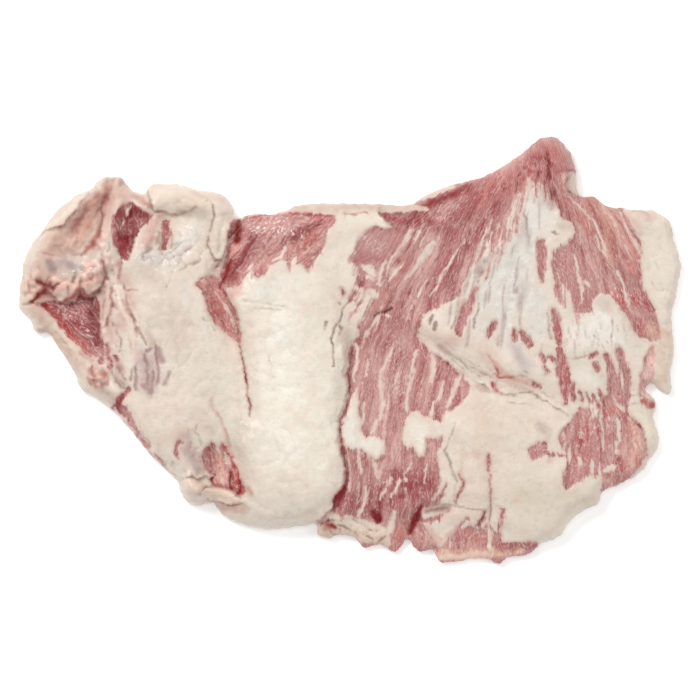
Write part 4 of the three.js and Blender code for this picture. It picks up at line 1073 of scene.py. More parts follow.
# Crags, where the fat is torn into clumps: rise in millimetres, size of a clump in pixels, stroke
CRAGS = [
    (0.8, 9, [(56, 286, 14), (78, 291, 12), (94, 276, 17)]),
    (0.8, 8, [(28, 280, 14), (34, 302, 13)]),
    (0.7, 8, [(100, 376, 14), (101, 377, 14)]),
    (1.0, 10, [(330, 532, 13), (375, 534, 15)]),
    (0.7, 10, [(440, 548, 12), (480, 550, 14)]),
    (0.7, 8, [(110, 395, 14), (150, 450, 12)]),
]

# Soft folds: rise in millimetres, slope across per pixel down, width and length in pixels, stroke
FOLDS = [
    (1.4, 0.1, 6, 34, [(106, 262, 14), (112, 305, 18), (126, 345, 18)]),
    (1.7, -0.8, 12, 20, [(148, 254, 26), (186, 254, 32)]),
    (0.7, -0.4, 16, 26, [(165, 320, 46), (190, 390, 54)]),
    (0.9, 2.0, 6, 34, [(446, 352, 14), (500, 382, 20), (566, 412, 14)]),
    (1.2, -0.6, 8, 30, [(104, 195, 14), (84, 225, 22), (62, 250, 22)]),
    (1.0, 0.1, 5, 26, [(146, 355, 18), (150, 388, 18)]),
    (0.8, 0.3, 6, 16, [(188, 446, 16), (230, 470, 22)]),
    (0.8, 0.2, 8, 16, [(330, 530, 14), (400, 536, 14), (490, 548, 16)]),
    (0.7, 0.1, 14, 34, [(470, 440, 34), (470, 490, 30)]),
    (0.6, -0.2, 10, 40, [(515, 230, 20), (505, 290, 40), (530, 340, 30)]),
    (0.7, 0.4, 12, 18, [(640, 230, 24), (660, 300, 26), (660, 370, 20)]),
    (0.6, 0.6, 20, 26, [(270, 310, 40), (280, 470, 60)]),
    (0.8, 1.6, 14, 30, [(180, 198, 16), (215, 205, 14)]),
]

# Rough ground: rise in millimetres, size in pixels, stroke
ROUGH = [
    (0.6, 8, [(30, 285, 18), (56, 246, 24), (96, 210, 20), (116, 190, 18)]),
    (0.6, 6, [(104, 250, 12), (112, 300, 14), (120, 345, 14), (104, 380, 14)]),
    (0.4, 6, [(44, 320, 12), (90, 375, 12), (150, 452, 12), (185, 470, 16)]),
    (0.5, 6, [(194, 446, 14), (222, 468, 18), (240, 490, 12)]),
    (0.4, 9, [(150, 250, 20), (170, 270, 24), (190, 232, 16)]),
    (0.3, 6, [(440, 355, 8), (500, 384, 12), (560, 406, 8)]),
    (0.4, 7, [(330, 528, 14), (400, 535, 16), (480, 545, 18)]),
    (0.3, 6, [(516, 200, 16), (480, 262, 16), (450, 312, 14)]),
    (0.5, 5, [(380, 218, 12), (440, 218, 14), (530, 168, 18), (556, 170, 18)]),
    (0.4, 5, [(236, 232, 12), (262, 228, 16), (310, 226, 16)]),
    (0.5, 5, [(132, 215, 18), (126, 250, 14)]),
    (0.5, 5, [(60, 310, 18), (92, 330, 18)]),
]

# Pale nets between the fibres: share, stroke
NETS = [
    (0.7, [(384, 218, 8), (405, 222, 14), (440, 220, 16), (462, 204, 12)]),
    (0.3, [(362, 240, 14), (384, 250, 18)]),
    (0.3, [(255, 225, 16), (300, 230, 18)]),
    (0.6, [(572, 242, 12), (584, 250, 12)]),
    (0.3, [(616, 292, 14), (640, 298, 14)]),
    (0.3, [(585, 430, 18), (620, 440, 18)]),
    (0.5, [(520, 176, 16), (548, 160, 18)]),
]

# Painted highlights on the lean, in specks where it is wet: share, stroke
WET_HIGHLIGHT_EVERYWHERE = 0.3
WET_HIGHLIGHTS = [
    (1.0, [(258, 228, 16), (285, 228, 22), (300, 234, 12)]),
    (1.0, [(364, 238, 12), (378, 246, 18)]),
    (0.8, [(420, 222, 22), (462, 202, 16)]),
    (0.3, [(132, 215, 20), (126, 250, 16)]),
    (0.6, [(395, 350, 26), (395, 390, 30)]),
    (0.7, [(60, 312, 18), (92, 330, 18)]),
    (0.4, [(370, 480, 22), (410, 470, 24)]),
    (0.8, [(616, 292, 16), (640, 298, 14)]),
    (0.6, [(585, 430, 22), (615, 420, 22)]),
    (0.6, [(536, 165, 16), (552, 160, 14)]),
]

# Glints on the fat: share, stroke
GLINTS = [
    (0.9, [(160, 200, 8), (170, 202, 8)]),
    (0.6, [(140, 256, 18), (168, 262, 24), (196, 246, 18)]),
    (0.8, [(182, 222, 10), (196, 228, 12), (196, 246, 10)]),
    (0.8, [(108, 345, 8), (118, 346, 8)]),
    (0.8, [(112, 376, 8), (118, 384, 7)]),
    (0.8, [(236, 412, 14), (248, 436, 14)]),
    (0.7, [(110, 290, 6), (120, 306, 7)]),
    (0.8, [(60, 278, 16), (92, 270, 14)]),
    (0.6, [(140, 368, 6), (149, 372, 6)]),
    (0.5, [(520, 260, 30), (505, 320, 30)]),
    (0.5, [(560, 222, 16), (566, 232, 16)]),
    (0.2, [(470, 455, 18), (466, 480, 16)]),
    (0.4, [(590, 330, 24), (600, 340, 24)]),
]

# Painted shade in hollows of the relief: its colour on fat and on lean, the depth that takes it in full, and
# its largest share
FAT_HOLLOW_SHADE = (162, 110, 98)
LEAN_HOLLOW_SHADE = (140, 58, 60)
HOLLOW_SHADE_DEPTH = 0.0010
HOLLOW_SHADE_MOST = 0.7

# The pole that the fan's fibres spread from, and how fast they straighten below it
FAN_POLE = 535.0
FAN_SPREAD = 0.0076
FAN_TOP = 220.0
FAN_FADE = 108.0
FAN_BEND = 150.0
GRAIN_SPLIT = 335.0

# Lean with a grain of its own: slope across per pixel down, and stroke
GRAIN_PATCHES = [
    (-0.95, [(240, 270, 30), (280, 240, 40), (330, 225, 16)]),
    (0.55, [(206, 282, 20), (236, 340, 20)]),
    (0.9, [(50, 305, 24), (95, 345, 30)]),
    (0.1, [(132, 210, 30), (126, 255, 24)]),
    (0.25, [(215, 450, 26), (240, 490, 22)]),
]

# How far fibres wander: reach, size across and size down in pixels, seed
GRAIN_WAVES = [(3.0, 32, 32, 61), (1.4, 9, 11, 62)]

# How far painted borders and the rim wander: reach and size in pixels, seed
BORDER_FRAY = [(1.2, 11, 11), (0.9, 5, 13), (0.8, 2.6, 15)]
RIM_FRAY = [(0.8, 7, 11), (0.6, 3, 12)]

# How tints and drawn lines come and go: middle share, swing, size in pixels, seed
TINT_SHARE = (0.85, 0.25, 8, 85)
LINE_SHARE = (0.6, 0.5, 6, 81)

# Share of the strewn streaks in the veil
VEIL_STREAK_SHARE = 0.6

# Relief of the fat everywhere: rise in millimetres, size in pixels, seed, layers of noise
FAT_LUMPS = [(0.34, 24, 31, 3), (0.16, 9, 35, 2)]

# Relief of the lean everywhere: rise in millimetres, width and length in pixels, seed
CORDS = [(0.24, 7, 30, 41), (0.2, 3.4, 11, 42)]

# Shape of the crags: share, size against the clump's and seed of each layer, how far they bend in pixels,
# the height that counts as level, and the width of a cleft against the clump's
CRAG_LAYERS = [(0.65, 1.0, 51), (0.35, 0.5, 52)]
CRAG_BEND = 2.0
CRAG_BEND_SIZE = 5
CRAG_BEND_SEEDS = (53, 54)
CRAG_MIDDLE = 0.5
CLEFT_WIDTH = 0.4

# Shape of the folds, the rough ground and the scarps' ends
FOLD_SEED = 91
FOLD_SWELL = 1.5
FOLD_MIDDLE = 0.6
ROUGH_SEED = 71
SCARP_TIP = 8.0

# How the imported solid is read: gap in metres that joins vertices, steps of the curve between two points of
# its rim, share of its shoulder that is too steep to read, rounds of smoothing there and over the facets
SAME_PLACE = 1e-6
CURVE_STEPS = 8
STEEP_SHARE = 0.3
STEEP_ROUNDS = 40
FACET_ROUNDS = 14

# How the mesh is made: where the gap to the rim is measured, least inset of a ring against its depth, how far
# a value moves in a round of smoothing, rounds that find hollows and that undo the warp, and the kind of
# output and merging gap of the triangulation
RIM_SHARES = (0.0, 0.25, 0.5, 0.75)
LEAST_RING_SHARE = 0.8
RELAX_SHARE = 0.7
HOLLOW_ROUNDS = 16
UNWARP_ROUNDS = 4
TRIANGLES_INSIDE = 1
MERGE_GAP = 1e-7

# Half widths, in pixels, over which the step up to the fat and the strewn veils ease in
FAT_EDGE = 2.0
VEIL_EDGE = 1.0

# Millimetres in a metre, and the least length that anything is divided by
MILLIMETRES = 1000.0
TINY = 1e-9

# Middle of every noise in the material
MIDDLE_NOISE = 0.5

# Waves of the fibres in the material: scale, detail and roughness of the noise, and reach in pixels
CURL_SCALE = (0.1, 0.035, 1.0)
CURL_DETAIL, CURL_ROUGHNESS = 2.0, 0.5
CURL_REACH = (9.0, 16.0, 0.0)

# Noise along the fibres: scale across and along them, detail, roughness
FIBRE_NOISES = {
    "streak": ((0.24, 0.03, 1.0), 3.0, 0.6),
    "strand": ((0.11, 0.03, 1.0), 4.0, 0.6),
    "thread": ((0.3, 0.09, 1.0), 4.0, 0.7),
    "grit": ((0.42, 0.3, 1.0), 3.0, 0.7),
    # Noise for the specks of painted highlight on the wet lean
    "highlight_specks": ((0.5, 0.24, 1.0), 2.0, 0.6),
}

# Noise without a direction: scale, detail, roughness
PLACE_NOISES = {
    "patch": (45.0, 3.0, 0.5),
    "mottle": (150.0, 4.0, 0.6),
    "fine": (300.0, 4.0, 0.7),
    "speckle": (700.0, 3.0, 0.6),
}

# Borders of cells drawn out along the fibres: shift in pixels, scale, width of the border
CELL_BORDERS = {
    "bundle": ((0.0, 0.0, 0.0), (0.1, 0.022, 1.0), 0.09),
    "groove": ((1.6, 1.0, 0.0), (0.1, 0.022, 1.0), 0.09),
    "net": ((0.0, 0.0, 0.0), (0.16, 0.12, 1.0), 0.16),
}

# Border between fat and lean: how far noise moves it in pixels, the levels over which fat sets in and grows
# thick, and the share of thin fat's colour
FEATHER_SWING = 4.5
MOTTLE_RIPPLE = 5.0
GRIT_RIPPLE = 3.0
FAT_SETS_IN = (-1.4, 1.2)
FAT_GROWS_THICK = (0.0, 4.6)
THIN_FAT_SHARE = 0.5

# Tones of the lean and the fat: noise, where the tone starts and is full, its share, and what it keeps of
# red, green and blue light
STRAND_TONES = [("strand", 0.5, 0.34, 0.7, (0.84, 0.64, 0.64))]
FIBRE_TONES = [
    ("thread", 0.48, 0.3, 0.7, (0.71, 0.64, 0.64)),
    ("thread", 0.54, 0.72, 0.8, (1.32, 1.42, 1.42)),
    ("grit", 0.48, 0.3, 0.9, (0.7, 0.64, 0.64)),
    ("grit", 0.53, 0.72, 0.9, (1.32, 1.4, 1.4)),
]
FAT_TONES = [
    ("patch", 0.5, 0.75, 0.4, (0.95, 0.89, 0.86)),
    ("patch", 0.5, 0.3, 0.5, (0.94, 0.97, 0.98)),
    ("mottle", 0.5, 0.7, 0.5, (0.94, 0.87, 0.83)),
    ("fine", 0.48, 0.34, 0.55, (0.86, 0.84, 0.82)),
    ("fine", 0.5, 0.68, 0.7, (1.06, 1.08, 1.1)),
]
GROOVE_SHARE = 0.5
GROOVE_TONE = (0.72, 0.58, 0.58)

# Spans of noise or, for pale lean, of green light: from low to high, and the shares that they stand for
PALE_SPAN = (0.02, 0.15, 0.1, 1.0)
TAN_SPAN = (0.54, 0.72, 0.0, 0.5)
BUNDLE_SPAN = (0.4, 0.6, 0.1, 0.75)
HIGHLIGHT_SPECK_SPAN = (0.54, 0.62)
GLINT_SPAN = (0.55, 0.66)
VEIL_SPAN = (0.32, 0.62, 0.4, 1.15)
LEAN_ROUGHNESS = (0.35, 0.65, 0.16, 0.34)
FAT_ROUGHNESS = (0.35, 0.65, 0.2, 0.4)

# Bumps too fine for the mesh: noise and share of each, then how strong they are and how high in metres
LEAN_BUMPS = (("thread", 0.6), ("grit", 0.4))
FAT_BUMPS = (("mottle", 0.6), ("fine", 0.3))
SPECKLE_BUMP = 0.08
BUMP_STRENGTH = 0.8
BUMP_HEIGHT = 0.001

# What the whole surface shares
MEAT_SURFACE = {
    "Specular IOR Level": 0.25,
    "Subsurface Weight": 0.12,
    "Subsurface Radius": (0.0035, 0.0014, 0.0009),
    "Subsurface Scale": 1.0,
}

# Floor, in metres and shares of light
WHITE = (1.0, 1.0, 1.0, 1.0)
FLOOR_REACH = 3.0
FLOOR_HEIGHT = -0.0002
FLOOR_LOOK = {
    "Base Color": (0.92, 0.92, 0.92, 1.0),
    "Emission Color": WHITE,
    "Emission Strength": 0.25,
    "Roughness": 0.9,
    "Specular IOR Level": 0.0,
}

# Soft boxes: place and side in metres, power in watts
SOFT_BOXES = {
    "key_box": ((-0.9, 1.0, 1.4), 0.5, 17.5),
    "right_box": ((1.4, 0.2, 1.3), 0.8, 7.0),
    "near_box": ((-0.2, -1.6, 1.3), 0.8, 3.0),
    "glint_box": ((-0.25, 0.45, 1.7), 0.25, 3.0),
}
SURROUND_STRENGTH = 0.44

# Camera: height above the rim in metres, width of its sensor in millimetres
CAMERA_DISTANCE = 2.4
SENSOR_WIDTH = 36.0


def smooth(share):
    """Eases 0 to 1."""
    held = np.clip(share, 0.0, 1.0)
    return held * held * (3.0 - 2.0 * held)


def blend(low, high, share):
    """Goes from low to high as share goes from 0 to 1."""
    return low + (high - low) * share


def soft_edge(reach, half):
    """Eases from 0 to 1 across a border, over half a width on either side of it."""
    return smooth((reach + half) / (2.0 * half))


def value_noise(across, down, seed):
    """Smooth random field from -1 to 1 with lumps one unit wide."""
    size = 256
    table = np.random.default_rng(seed).uniform(-1.0, 1.0, (size, size))
    column = np.floor(across).astype(int)
    row = np.floor(down).astype(int)
    right = smooth(across - column)
    below = smooth(down - row)
    columns = (column % size, (column + 1) % size)
    rows = (row % size, (row + 1) % size)
    upper = blend(table[rows[0], columns[0]], table[rows[0], columns[1]], right)
    lower = blend(table[rows[1], columns[0]], table[rows[1], columns[1]], right)
    return blend(upper, lower, below)


def fractal_noise(across, down, seed, layers):
    """Value noise with finer and weaker layers on top, about -1 to 1."""
    total = np.zeros_like(across)
    for layer in range(layers):
        total += value_noise(across * 2**layer, down * 2**layer, seed + layer) / 2**layer
    return total


def uneven(points, middle, swing, size, seed):
    """A share that wanders about a middle, in lumps of a size in pixels."""
    across, down = points.T
    return middle + swing * fractal_noise(across / size, down / size, seed, 2)


def segment_gaps(points, path):
    """For each piece of a stroke: distance of each point to it, and the half width there."""
    knots = np.asarray(path, float)
    for start, end in zip(knots[:-1], knots[1:]):
        along = end[:2] - start[:2]
        length = max(along @ along, TINY)
        share = np.clip((points - start[:2]) @ along / length, 0.0, 1.0)
        offset = points - start[:2] - share[:, None] * along
        yield np.hypot(offset[:, 0], offset[:, 1]), start[2] + share * (end[2] - start[2])


def near_stroke(points, path, margin):
    """Indices of the points in a stroke's box, grown by a margin."""
    knots = np.asarray(path, float)
    reach = knots[:, 2].max() + margin
    low, high = knots[:, :2].min(axis=0) - reach, knots[:, :2].max(axis=0) + reach
    return np.flatnonzero(((points > low) & (points < high)).all(axis=1))


def strokes_reach(points, paths):
    """Pixels by which each point lies inside any of the strokes, negative outside."""
    reach = np.full(len(points), -FARTHEST)
    for path in paths:
        near = near_stroke(points, path, FARTHEST)
        for gap, half in segment_gaps(points[near], path):
            reach[near] = np.maximum(reach[near], half - gap)
    return reach


def strokes_share(points, paths):
    """1 on the path of any of the strokes, easing to 0 at their borders."""
    share = np.zeros(len(points))
    for path in paths:
        near = near_stroke(points, path, 0.0)
        for gap, half in segment_gaps(points[near], path):
            share[near] = np.maximum(share[near], smooth(1.0 - gap / half))
    return share


def area_reach(points, corners):
    """Pixels by which each point lies inside a closed outline, negative outside."""
    ring = np.asarray(corners, float)
    nearest = np.full(len(points), np.inf)
    inside = np.zeros(len(points), bool)
    for start, end in zip(ring, np.roll(ring, -1, axis=0)):
        along = end - start
        share = np.clip((points - start) @ along / (along @ along), 0.0, 1.0)
        offset = points - start - share[:, None] * along
        nearest = np.minimum(nearest, np.hypot(offset[:, 0], offset[:, 1]))
        straddles = (start[1] > points[:, 1]) != (end[1] > points[:, 1])
        rise = end[1] - start[1] if end[1] != start[1] else 1.0
        crossing = start[0] + along[0] * (points[:, 1] - start[1]) / rise
        inside ^= straddles & (points[:, 0] < crossing)
    return np.where(inside, nearest, -nearest)


low_corner, high_corner = (np.array(corner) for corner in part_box("secreto"))
PIXEL = (high_corner[0] - low_corner[0]) / (PHOTO_RIGHT - PHOTO_LEFT)
PIXEL_DOWN = (high_corner[1] - low_corner[1]) / (PHOTO_BOTTOM - PHOTO_TOP)


def to_photo(places):
    """Photograph pixels of places given in metres."""
    across = PHOTO_LEFT + (places[:, 0] - low_corner[0]) / PIXEL
    down = PHOTO_TOP + (high_corner[1] - places[:, 1]) / PIXEL_DOWN
    return np.stack([across, down], axis=1)


def to_frame(points):
    """Places in metres, X and Y only, of photograph pixels."""
    x = low_corner[0] + (points[:, 0] - PHOTO_LEFT) * PIXEL
    y = high_corner[1] - (points[:, 1] - PHOTO_TOP) * PIXEL_DOWN
    return np.stack([x, y], axis=1)


def rim_neighbours(solid):
    """For each vertex of the solid's rim, where its top meets its underside, the two beside it."""
    neighbours = {}
    for edge in solid.edges:
        if edge.link_faces[0].normal.z * edge.link_faces[1].normal.z < 0:
            first, second = edge.verts
            neighbours.setdefault(first.index, []).append(second.index)
            neighbours.setdefault(second.index, []).append(first.index)
    return neighbours


def solid_rim(node):
    """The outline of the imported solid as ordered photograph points."""
    solid = bmesh.new()
    solid.from_mesh(node.data)
    bmesh.ops.remove_doubles(solid, verts=solid.verts, dist=SAME_PLACE)
    neighbours = rim_neighbours(solid)
    start = min(neighbours)
    walk = [start]
    previous, current = None, start
    while True:
        following = next(index for index in neighbours[current] if index != previous)
        if following == start:
            break
        walk.append(following)
        previous, current = current, following
    solid.verts.ensure_lookup_table()
    places = np.array([solid.verts[index].co for index in walk])
    solid.free()
    return to_photo(places)


def curved(ring):
    """The ring as a smooth closed curve through its points."""
    before, after, beyond = (np.roll(ring, shift, axis=0) for shift in (1, -1, -2))
    pieces = []
    for t in np.linspace(0.0, 1.0, CURVE_STEPS, endpoint=False):
        curve = (
            2 * ring + (after - before) * t + (2 * before - 5 * ring + 4 * after - beyond) * t**2
            + (3 * ring - before - 3 * after + beyond) * t**3
        )
        pieces.append(curve / 2)
    return np.stack(pieces, axis=1).reshape(-1, 2)


def fine_rim(ring):
    """The ring as a smooth closed curve at even steps, made slightly ragged."""
    dense = curved(ring)
    closed = np.vstack([dense, dense[:1]])
    lengths = np.hypot(*np.diff(closed, axis=0).T)
    total = lengths.sum()
    travelled = np.concatenate([[0.0], np.cumsum(lengths)])
    wanted = np.linspace(0.0, total, int(total / RIM_STEP), endpoint=False)
    even = np.stack([np.interp(wanted, travelled, closed[:, axis]) for axis in (0, 1)], axis=1)
    across, down = even.T
    ragged = sum(reach * value_noise(across / size, down / size, seed) for reach, size, seed in RIM_FRAY)
    return even + rim_inward(even) * ragged[:, None]


def rim_inward(ring):
    """Unit vectors that point into a closed ring."""
    along = np.roll(ring, -1, axis=0) - np.roll(ring, 1, axis=0)
    side = np.stack([-along[:, 1], along[:, 0]], axis=1)
    side /= np.maximum(np.hypot(side[:, 0], side[:, 1]), TINY)[:, None]
    following = np.roll(ring, -1, axis=0)
    turn = np.sum(ring[:, 0] * following[:, 1] - following[:, 0] * ring[:, 1])
    return side if turn > 0 else -side


def search_tree(points):
    """A tree that finds the nearest of the points."""
    tree = KDTree(len(points))
    for index, (across, down) in enumerate(points):
        tree.insert((across, down, 0.0), index)
    tree.balance()
    return tree


def nearest_gap(points, targets):
    """Pixels from each point to the nearest target."""
    tree = search_tree(targets)
    return np.array([tree.find((across, down, 0.0))[2] for across, down in points])


def rim_gap(points, ring):
    """Pixels from each point to the ring."""
    following = np.roll(ring, -1, axis=0)
    return nearest_gap(points, np.vstack([blend(ring, following, share) for share in RIM_SHARES]))


def inside_ring(points, ring):
    """Whether each point lies inside the ring."""
    inside = np.zeros(len(points), bool)
    for start, end in zip(ring, np.roll(ring, -1, axis=0)):
        rows = np.flatnonzero((start[1] > points[:, 1]) != (end[1] > points[:, 1]))
        crossing = start[0] + (end[0] - start[0]) * (points[rows, 1] - start[1]) / (end[1] - start[1])
        inside[rows] ^= points[rows, 0] < crossing
    return inside


def lattice(ring, step, clear):
    """Points of an even triangular lattice that lie inside the ring, with their inset."""
    low, high = ring.min(axis=0), ring.max(axis=0)
    row_step = step * math.sqrt(3) / 2
    downs = np.arange(low[1], high[1], row_step)
    acrosses = np.arange(low[0], high[0], step)
    points = np.array([(a + (row % 2) * step / 2, d) for row, d in enumerate(downs) for a in acrosses])
    points = points[inside_ring(points, ring)]
    inset = rim_gap(points, ring)
    return points[inset > clear], inset[inset > clear]


def rim_rings(ring):
    """Extra rings of points just inside the rim, where the sides are steep, with their inset."""
    inward = rim_inward(ring)
    rings, insets = [], []
    for depth in RIM_RINGS:
        points = ring + inward * depth
        inset = rim_gap(points, ring)
        kept = (inset > LEAST_RING_SHARE * depth) & inside_ring(points, ring)
        rings.append(points[kept])
        insets.append(inset[kept])
    return np.vstack(rings), np.concatenate(insets)


def triangles(ring, inner):
    """Triangles over the ring and the points inside it, as indices into ring then inner."""
    count = len(ring)
    points = [Vector(point) for point in np.vstack([ring, inner])]
    edges = [(index, (index + 1) % count) for index in range(count)]
    _, _, faces, origins, _, _ = delaunay_2d_cdt(points, edges, [], TRIANGLES_INSIDE, MERGE_GAP)
    first = [origin[0] for origin in origins]
    return np.array([[first[index] for index in face] for face in faces])


def edge_pairs(faces):
    """Both directions of every side of the triangles."""
    sides = np.vstack([faces[:, [0, 1]], faces[:, [1, 2]], faces[:, [2, 0]]])
    return np.vstack([sides, sides[:, ::-1]])


def relax(values, pairs, rounds, free):
    """Moves the free values towards the mean of their neighbours, a few rounds over."""
    counts = np.maximum(np.bincount(pairs[:, 0], minlength=len(values)), 1)
    for _ in range(rounds):
        means = np.bincount(pairs[:, 0], weights=values[pairs[:, 1]], minlength=len(values)) / counts
        values = np.where(free, blend(values, means, RELAX_SHARE), values)
    return values


def quarter_round(share):
    """Rises steeply from 0, then levels off at 1."""
    return np.sqrt(1.0 - (1.0 - np.clip(share, 0.0, 1.0)) ** 2)


def solid_heights(node, points):
    """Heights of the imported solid's top under each point."""
    tree = BVHTree.FromObject(node, bpy.context.evaluated_depsgraph_get())
    above = Vector((0.0, 0.0, 1.0))
    down = Vector((0.0, 0.0, -1.0))
    heights = np.zeros(len(points))
    for index, (x, y) in enumerate(to_frame(points)):
        hit = tree.ray_cast(Vector((x, y, 0.0)) + above, down)[0]
        heights[index] = hit.z if hit else RIM_HEIGHT
    return heights


def body_heights(node, points, inset, pairs):
    """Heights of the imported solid's top without its rounded rim, smoothed over its facets."""
    depth = inset * PIXEL
    steep = STEEP_SHARE * CAD_SHOULDER
    rounding = quarter_round(np.maximum(depth, steep) / CAD_SHOULDER)
    body = RIM_HEIGHT + (solid_heights(node, points) - RIM_HEIGHT) / rounding
    body = relax(body, pairs, STEEP_ROUNDS, depth <= steep)
    return relax(body, pairs, FACET_ROUNDS, np.ones(len(points), bool))


def warped(points):
    """Points shifted a little, so that painted borders wander and fray."""
    across, down = points.T
    shift = np.zeros_like(points)
    for reach, size, seed in BORDER_FRAY:
        shift[:, 0] += reach * value_noise(across / size, down / size, seed)
        shift[:, 1] += reach * value_noise(across / size, down / size, seed + 1)
    return points + shift


def fat_layer(points):
    """Pixels by which each point lies in the layer of fat, negative in bare lean."""
    reach = np.full(len(points), -np.inf)
    for corners in FAT_AREAS.values():
        reach = np.maximum(reach, area_reach(points, corners))
    for corners in LEAN_AREAS.values():
        reach = np.minimum(reach, -area_reach(points, corners))
    for paths in LEAN_STROKES.values():
        reach = np.minimum(reach, -strokes_reach(points, paths))
    for corners in FAT_PATCHES.values():
        reach = np.maximum(reach, area_reach(points, corners))
    return np.clip(reach, -FARTHEST, FARTHEST)


def strewn(points, fibres, draw, count, lengths, halves, zone):
    """Streaks strewn over a zone: the points near each, how far inside it they lie, and its half width."""
    candidates = np.flatnonzero(strokes_share(points, [zone]) > 0.0)
    for index in draw.choice(candidates, count, replace=False):
        length = draw.uniform(*lengths)
        half = draw.uniform(*halves)
        near = np.flatnonzero(np.abs(points - points[index]).max(axis=1) < length / 2.0)
        along = (fibres[near, 1] - fibres[index, 1]) / (length / 2.0)
        gap = np.abs(fibres[near, 0] - fibres[index, 0]) / fibres[near, 2]
        taper = np.sqrt(np.maximum(1.0 - along**2, 0.0))
        yield near, half * taper - gap, half


def streak_reaches(points, fibres, zones, draw):
    """Pixels by which each point lies inside streaks strewn over the zones."""
    reach = np.full(len(points), -FARTHEST)
    for zone in zones:
        for near, inside, _ in strewn(points, fibres, draw, *zone):
            reach[near] = np.maximum(reach[near], inside)
    return reach


def tones(points, fibres):
    """What soft streaks of tone, strewn along the grain, multiply the lean's colours by."""
    draw = np.random.default_rng(TONE_SEED)
    ground = linear(LEAN_COLOUR)
    colours = np.tile(ground, (len(points), 1))
    for colour, strength, *zone in TONE_STREAKS:
        for near, inside, half in strewn(points, fibres, draw, *zone):
            share = strength * smooth(inside / half)
            colours[near] = blend(colours[near], linear(colour), share[:, None])
    return (colours / ground) ** TONE_SHARE


def with_marbling(points, fibres, layer):
    """The layer of fat with painted and strewn streaks of fat and lean in it."""
    draw = np.random.default_rng(MARBLING_SEED)
    reach = layer
    for paths in FAT_STROKES.values():
        reach = np.maximum(reach, strokes_reach(points, paths))
    reach = np.maximum(reach, streak_reaches(points, fibres, FAT_MARBLING, draw))
    return np.minimum(reach, -streak_reaches(points, fibres, LEAN_MARBLING, draw))


def veil(points, fibres):
    """Share of lean that shows through thin fat."""
    draw = np.random.default_rng(MARBLING_SEED + 1)
    share = np.zeros(len(points))
    for most, paths in VEILS.values():
        share = np.maximum(share, most * strokes_share(points, paths))
    streaks = streak_reaches(points, fibres, VEIL_MARBLING, draw)
    return np.maximum(share, VEIL_STREAK_SHARE * soft_edge(streaks, VEIL_EDGE))


def strongest(points, everywhere, strokes):
    """The strongest of a ground value and those of the strokes over each point."""
    amount = np.full(len(points), everywhere)
    for most, path in strokes:
        amount = np.maximum(amount, most * strokes_share(points, [path]))
    return amount


def grain(points):
    """Fibre coordinates in pixels, across the fibres and along them, and how much the first is stretched."""
    across, down = points.T
    spread = np.exp(-FAN_SPREAD * FAN_FADE * np.exp(-(down - FAN_TOP) / FAN_FADE))
    wave = sum(
        reach * value_noise(across / width, down / length, seed)
        for reach, width, length, seed in GRAIN_WAVES
    )
    swing = (across - FAN_POLE) / FAN_BEND
    result = np.stack([FAN_BEND * np.sinh(swing) / spread, down, np.cosh(swing) / spread], axis=1)
    left = across < GRAIN_SPLIT
    result[left, 0] = across[left]
    result[left, 2] = 1.0
    for slope, path in GRAIN_PATCHES:
        inside = strokes_share(points, [path]) > 0.0
        tilt = math.hypot(1.0, slope)
        result[inside, 0] = (across[inside] - slope * down[inside]) / tilt
        result[inside, 1] = (down[inside] + slope * across[inside]) / tilt
        result[inside, 2] = 1.0
    result[:, 0] += wave * result[:, 2]
    return result


def linear(colour):
    """Linear light of a colour given as it looks, 0 to 255, by the sRGB curve."""
    share = np.asarray(colour, float) / 255.0
    return np.where(share <= 0.04045, share / 12.92, ((share + 0.055) / 1.055) ** 2.4)


def tinted(points, ground, tints):
    """The ground colour with each tint laid over it in turn, unevenly, in linear light."""
    colours = np.tile(linear(ground), (len(points), 1))
    evenness = uneven(points, *TINT_SHARE)
    for colour, strength, paths in tints.values():
        share = np.minimum(strength * strokes_share(points, paths) * evenness, 1.0)
        colours = blend(colours, linear(colour), share[:, None])
    return colours


def scarp_rise(points, path):
    """1 just left of a scarp's path, falling to 0 over its half width, and 0 on its right."""
    knots = np.asarray(path, float)
    rise = np.zeros(len(points))
    near = near_stroke(points, path, 0.0)
    close = points[near]
    nearest = np.full(len(near), np.inf)
    for start, end, (gap, half) in zip(knots[:-1], knots[1:], segment_gaps(close, path)):
        along = end[:2] - start[:2]
        offset = close - start[:2]
        left = along[0] * offset[:, 1] - along[1] * offset[:, 0] < 0.0
        closer = gap < nearest
        nearest[closer] = gap[closer]
        rise[near[closer]] = np.where(left, smooth(1.0 - gap / half), 0.0)[closer]
    tip = np.minimum(np.hypot(*(points - knots[0, :2]).T), np.hypot(*(points - knots[-1, :2]).T))
    return rise * smooth(tip / SCARP_TIP)


def clumps(points, size, seed):
    """Round clumps about one size apart: 0 in the clefts between them, 1 on top."""
    count = 128
    jitter = np.random.default_rng(seed).uniform(0.0, 1.0, (count, count, 2))
    scaled = points / size
    cell = np.floor(scaled).astype(int)
    nearest = np.full(len(points), np.inf)
    second = np.full(len(points), np.inf)
    for step in np.ndindex(3, 3):
        corner = cell + step - (1, 1)
        seat = corner + jitter[corner[:, 1] % count, corner[:, 0] % count]
        gap = np.hypot(*(scaled - seat).T)
        second = np.minimum(second, np.maximum(nearest, gap))
        nearest = np.minimum(nearest, gap)
    return smooth((second - nearest) / CLEFT_WIDTH)


def crags(points, size):
    """Torn clumps of a size with smaller ones on them, about 0 to 1."""
    across, down = points.T
    shifts = [value_noise(across / CRAG_BEND_SIZE, down / CRAG_BEND_SIZE, seed) for seed in CRAG_BEND_SEEDS]
    bent = points + CRAG_BEND * np.stack(shifts, axis=1)
    return sum(share * clumps(bent, part * size, seed) for share, part, seed in CRAG_LAYERS)


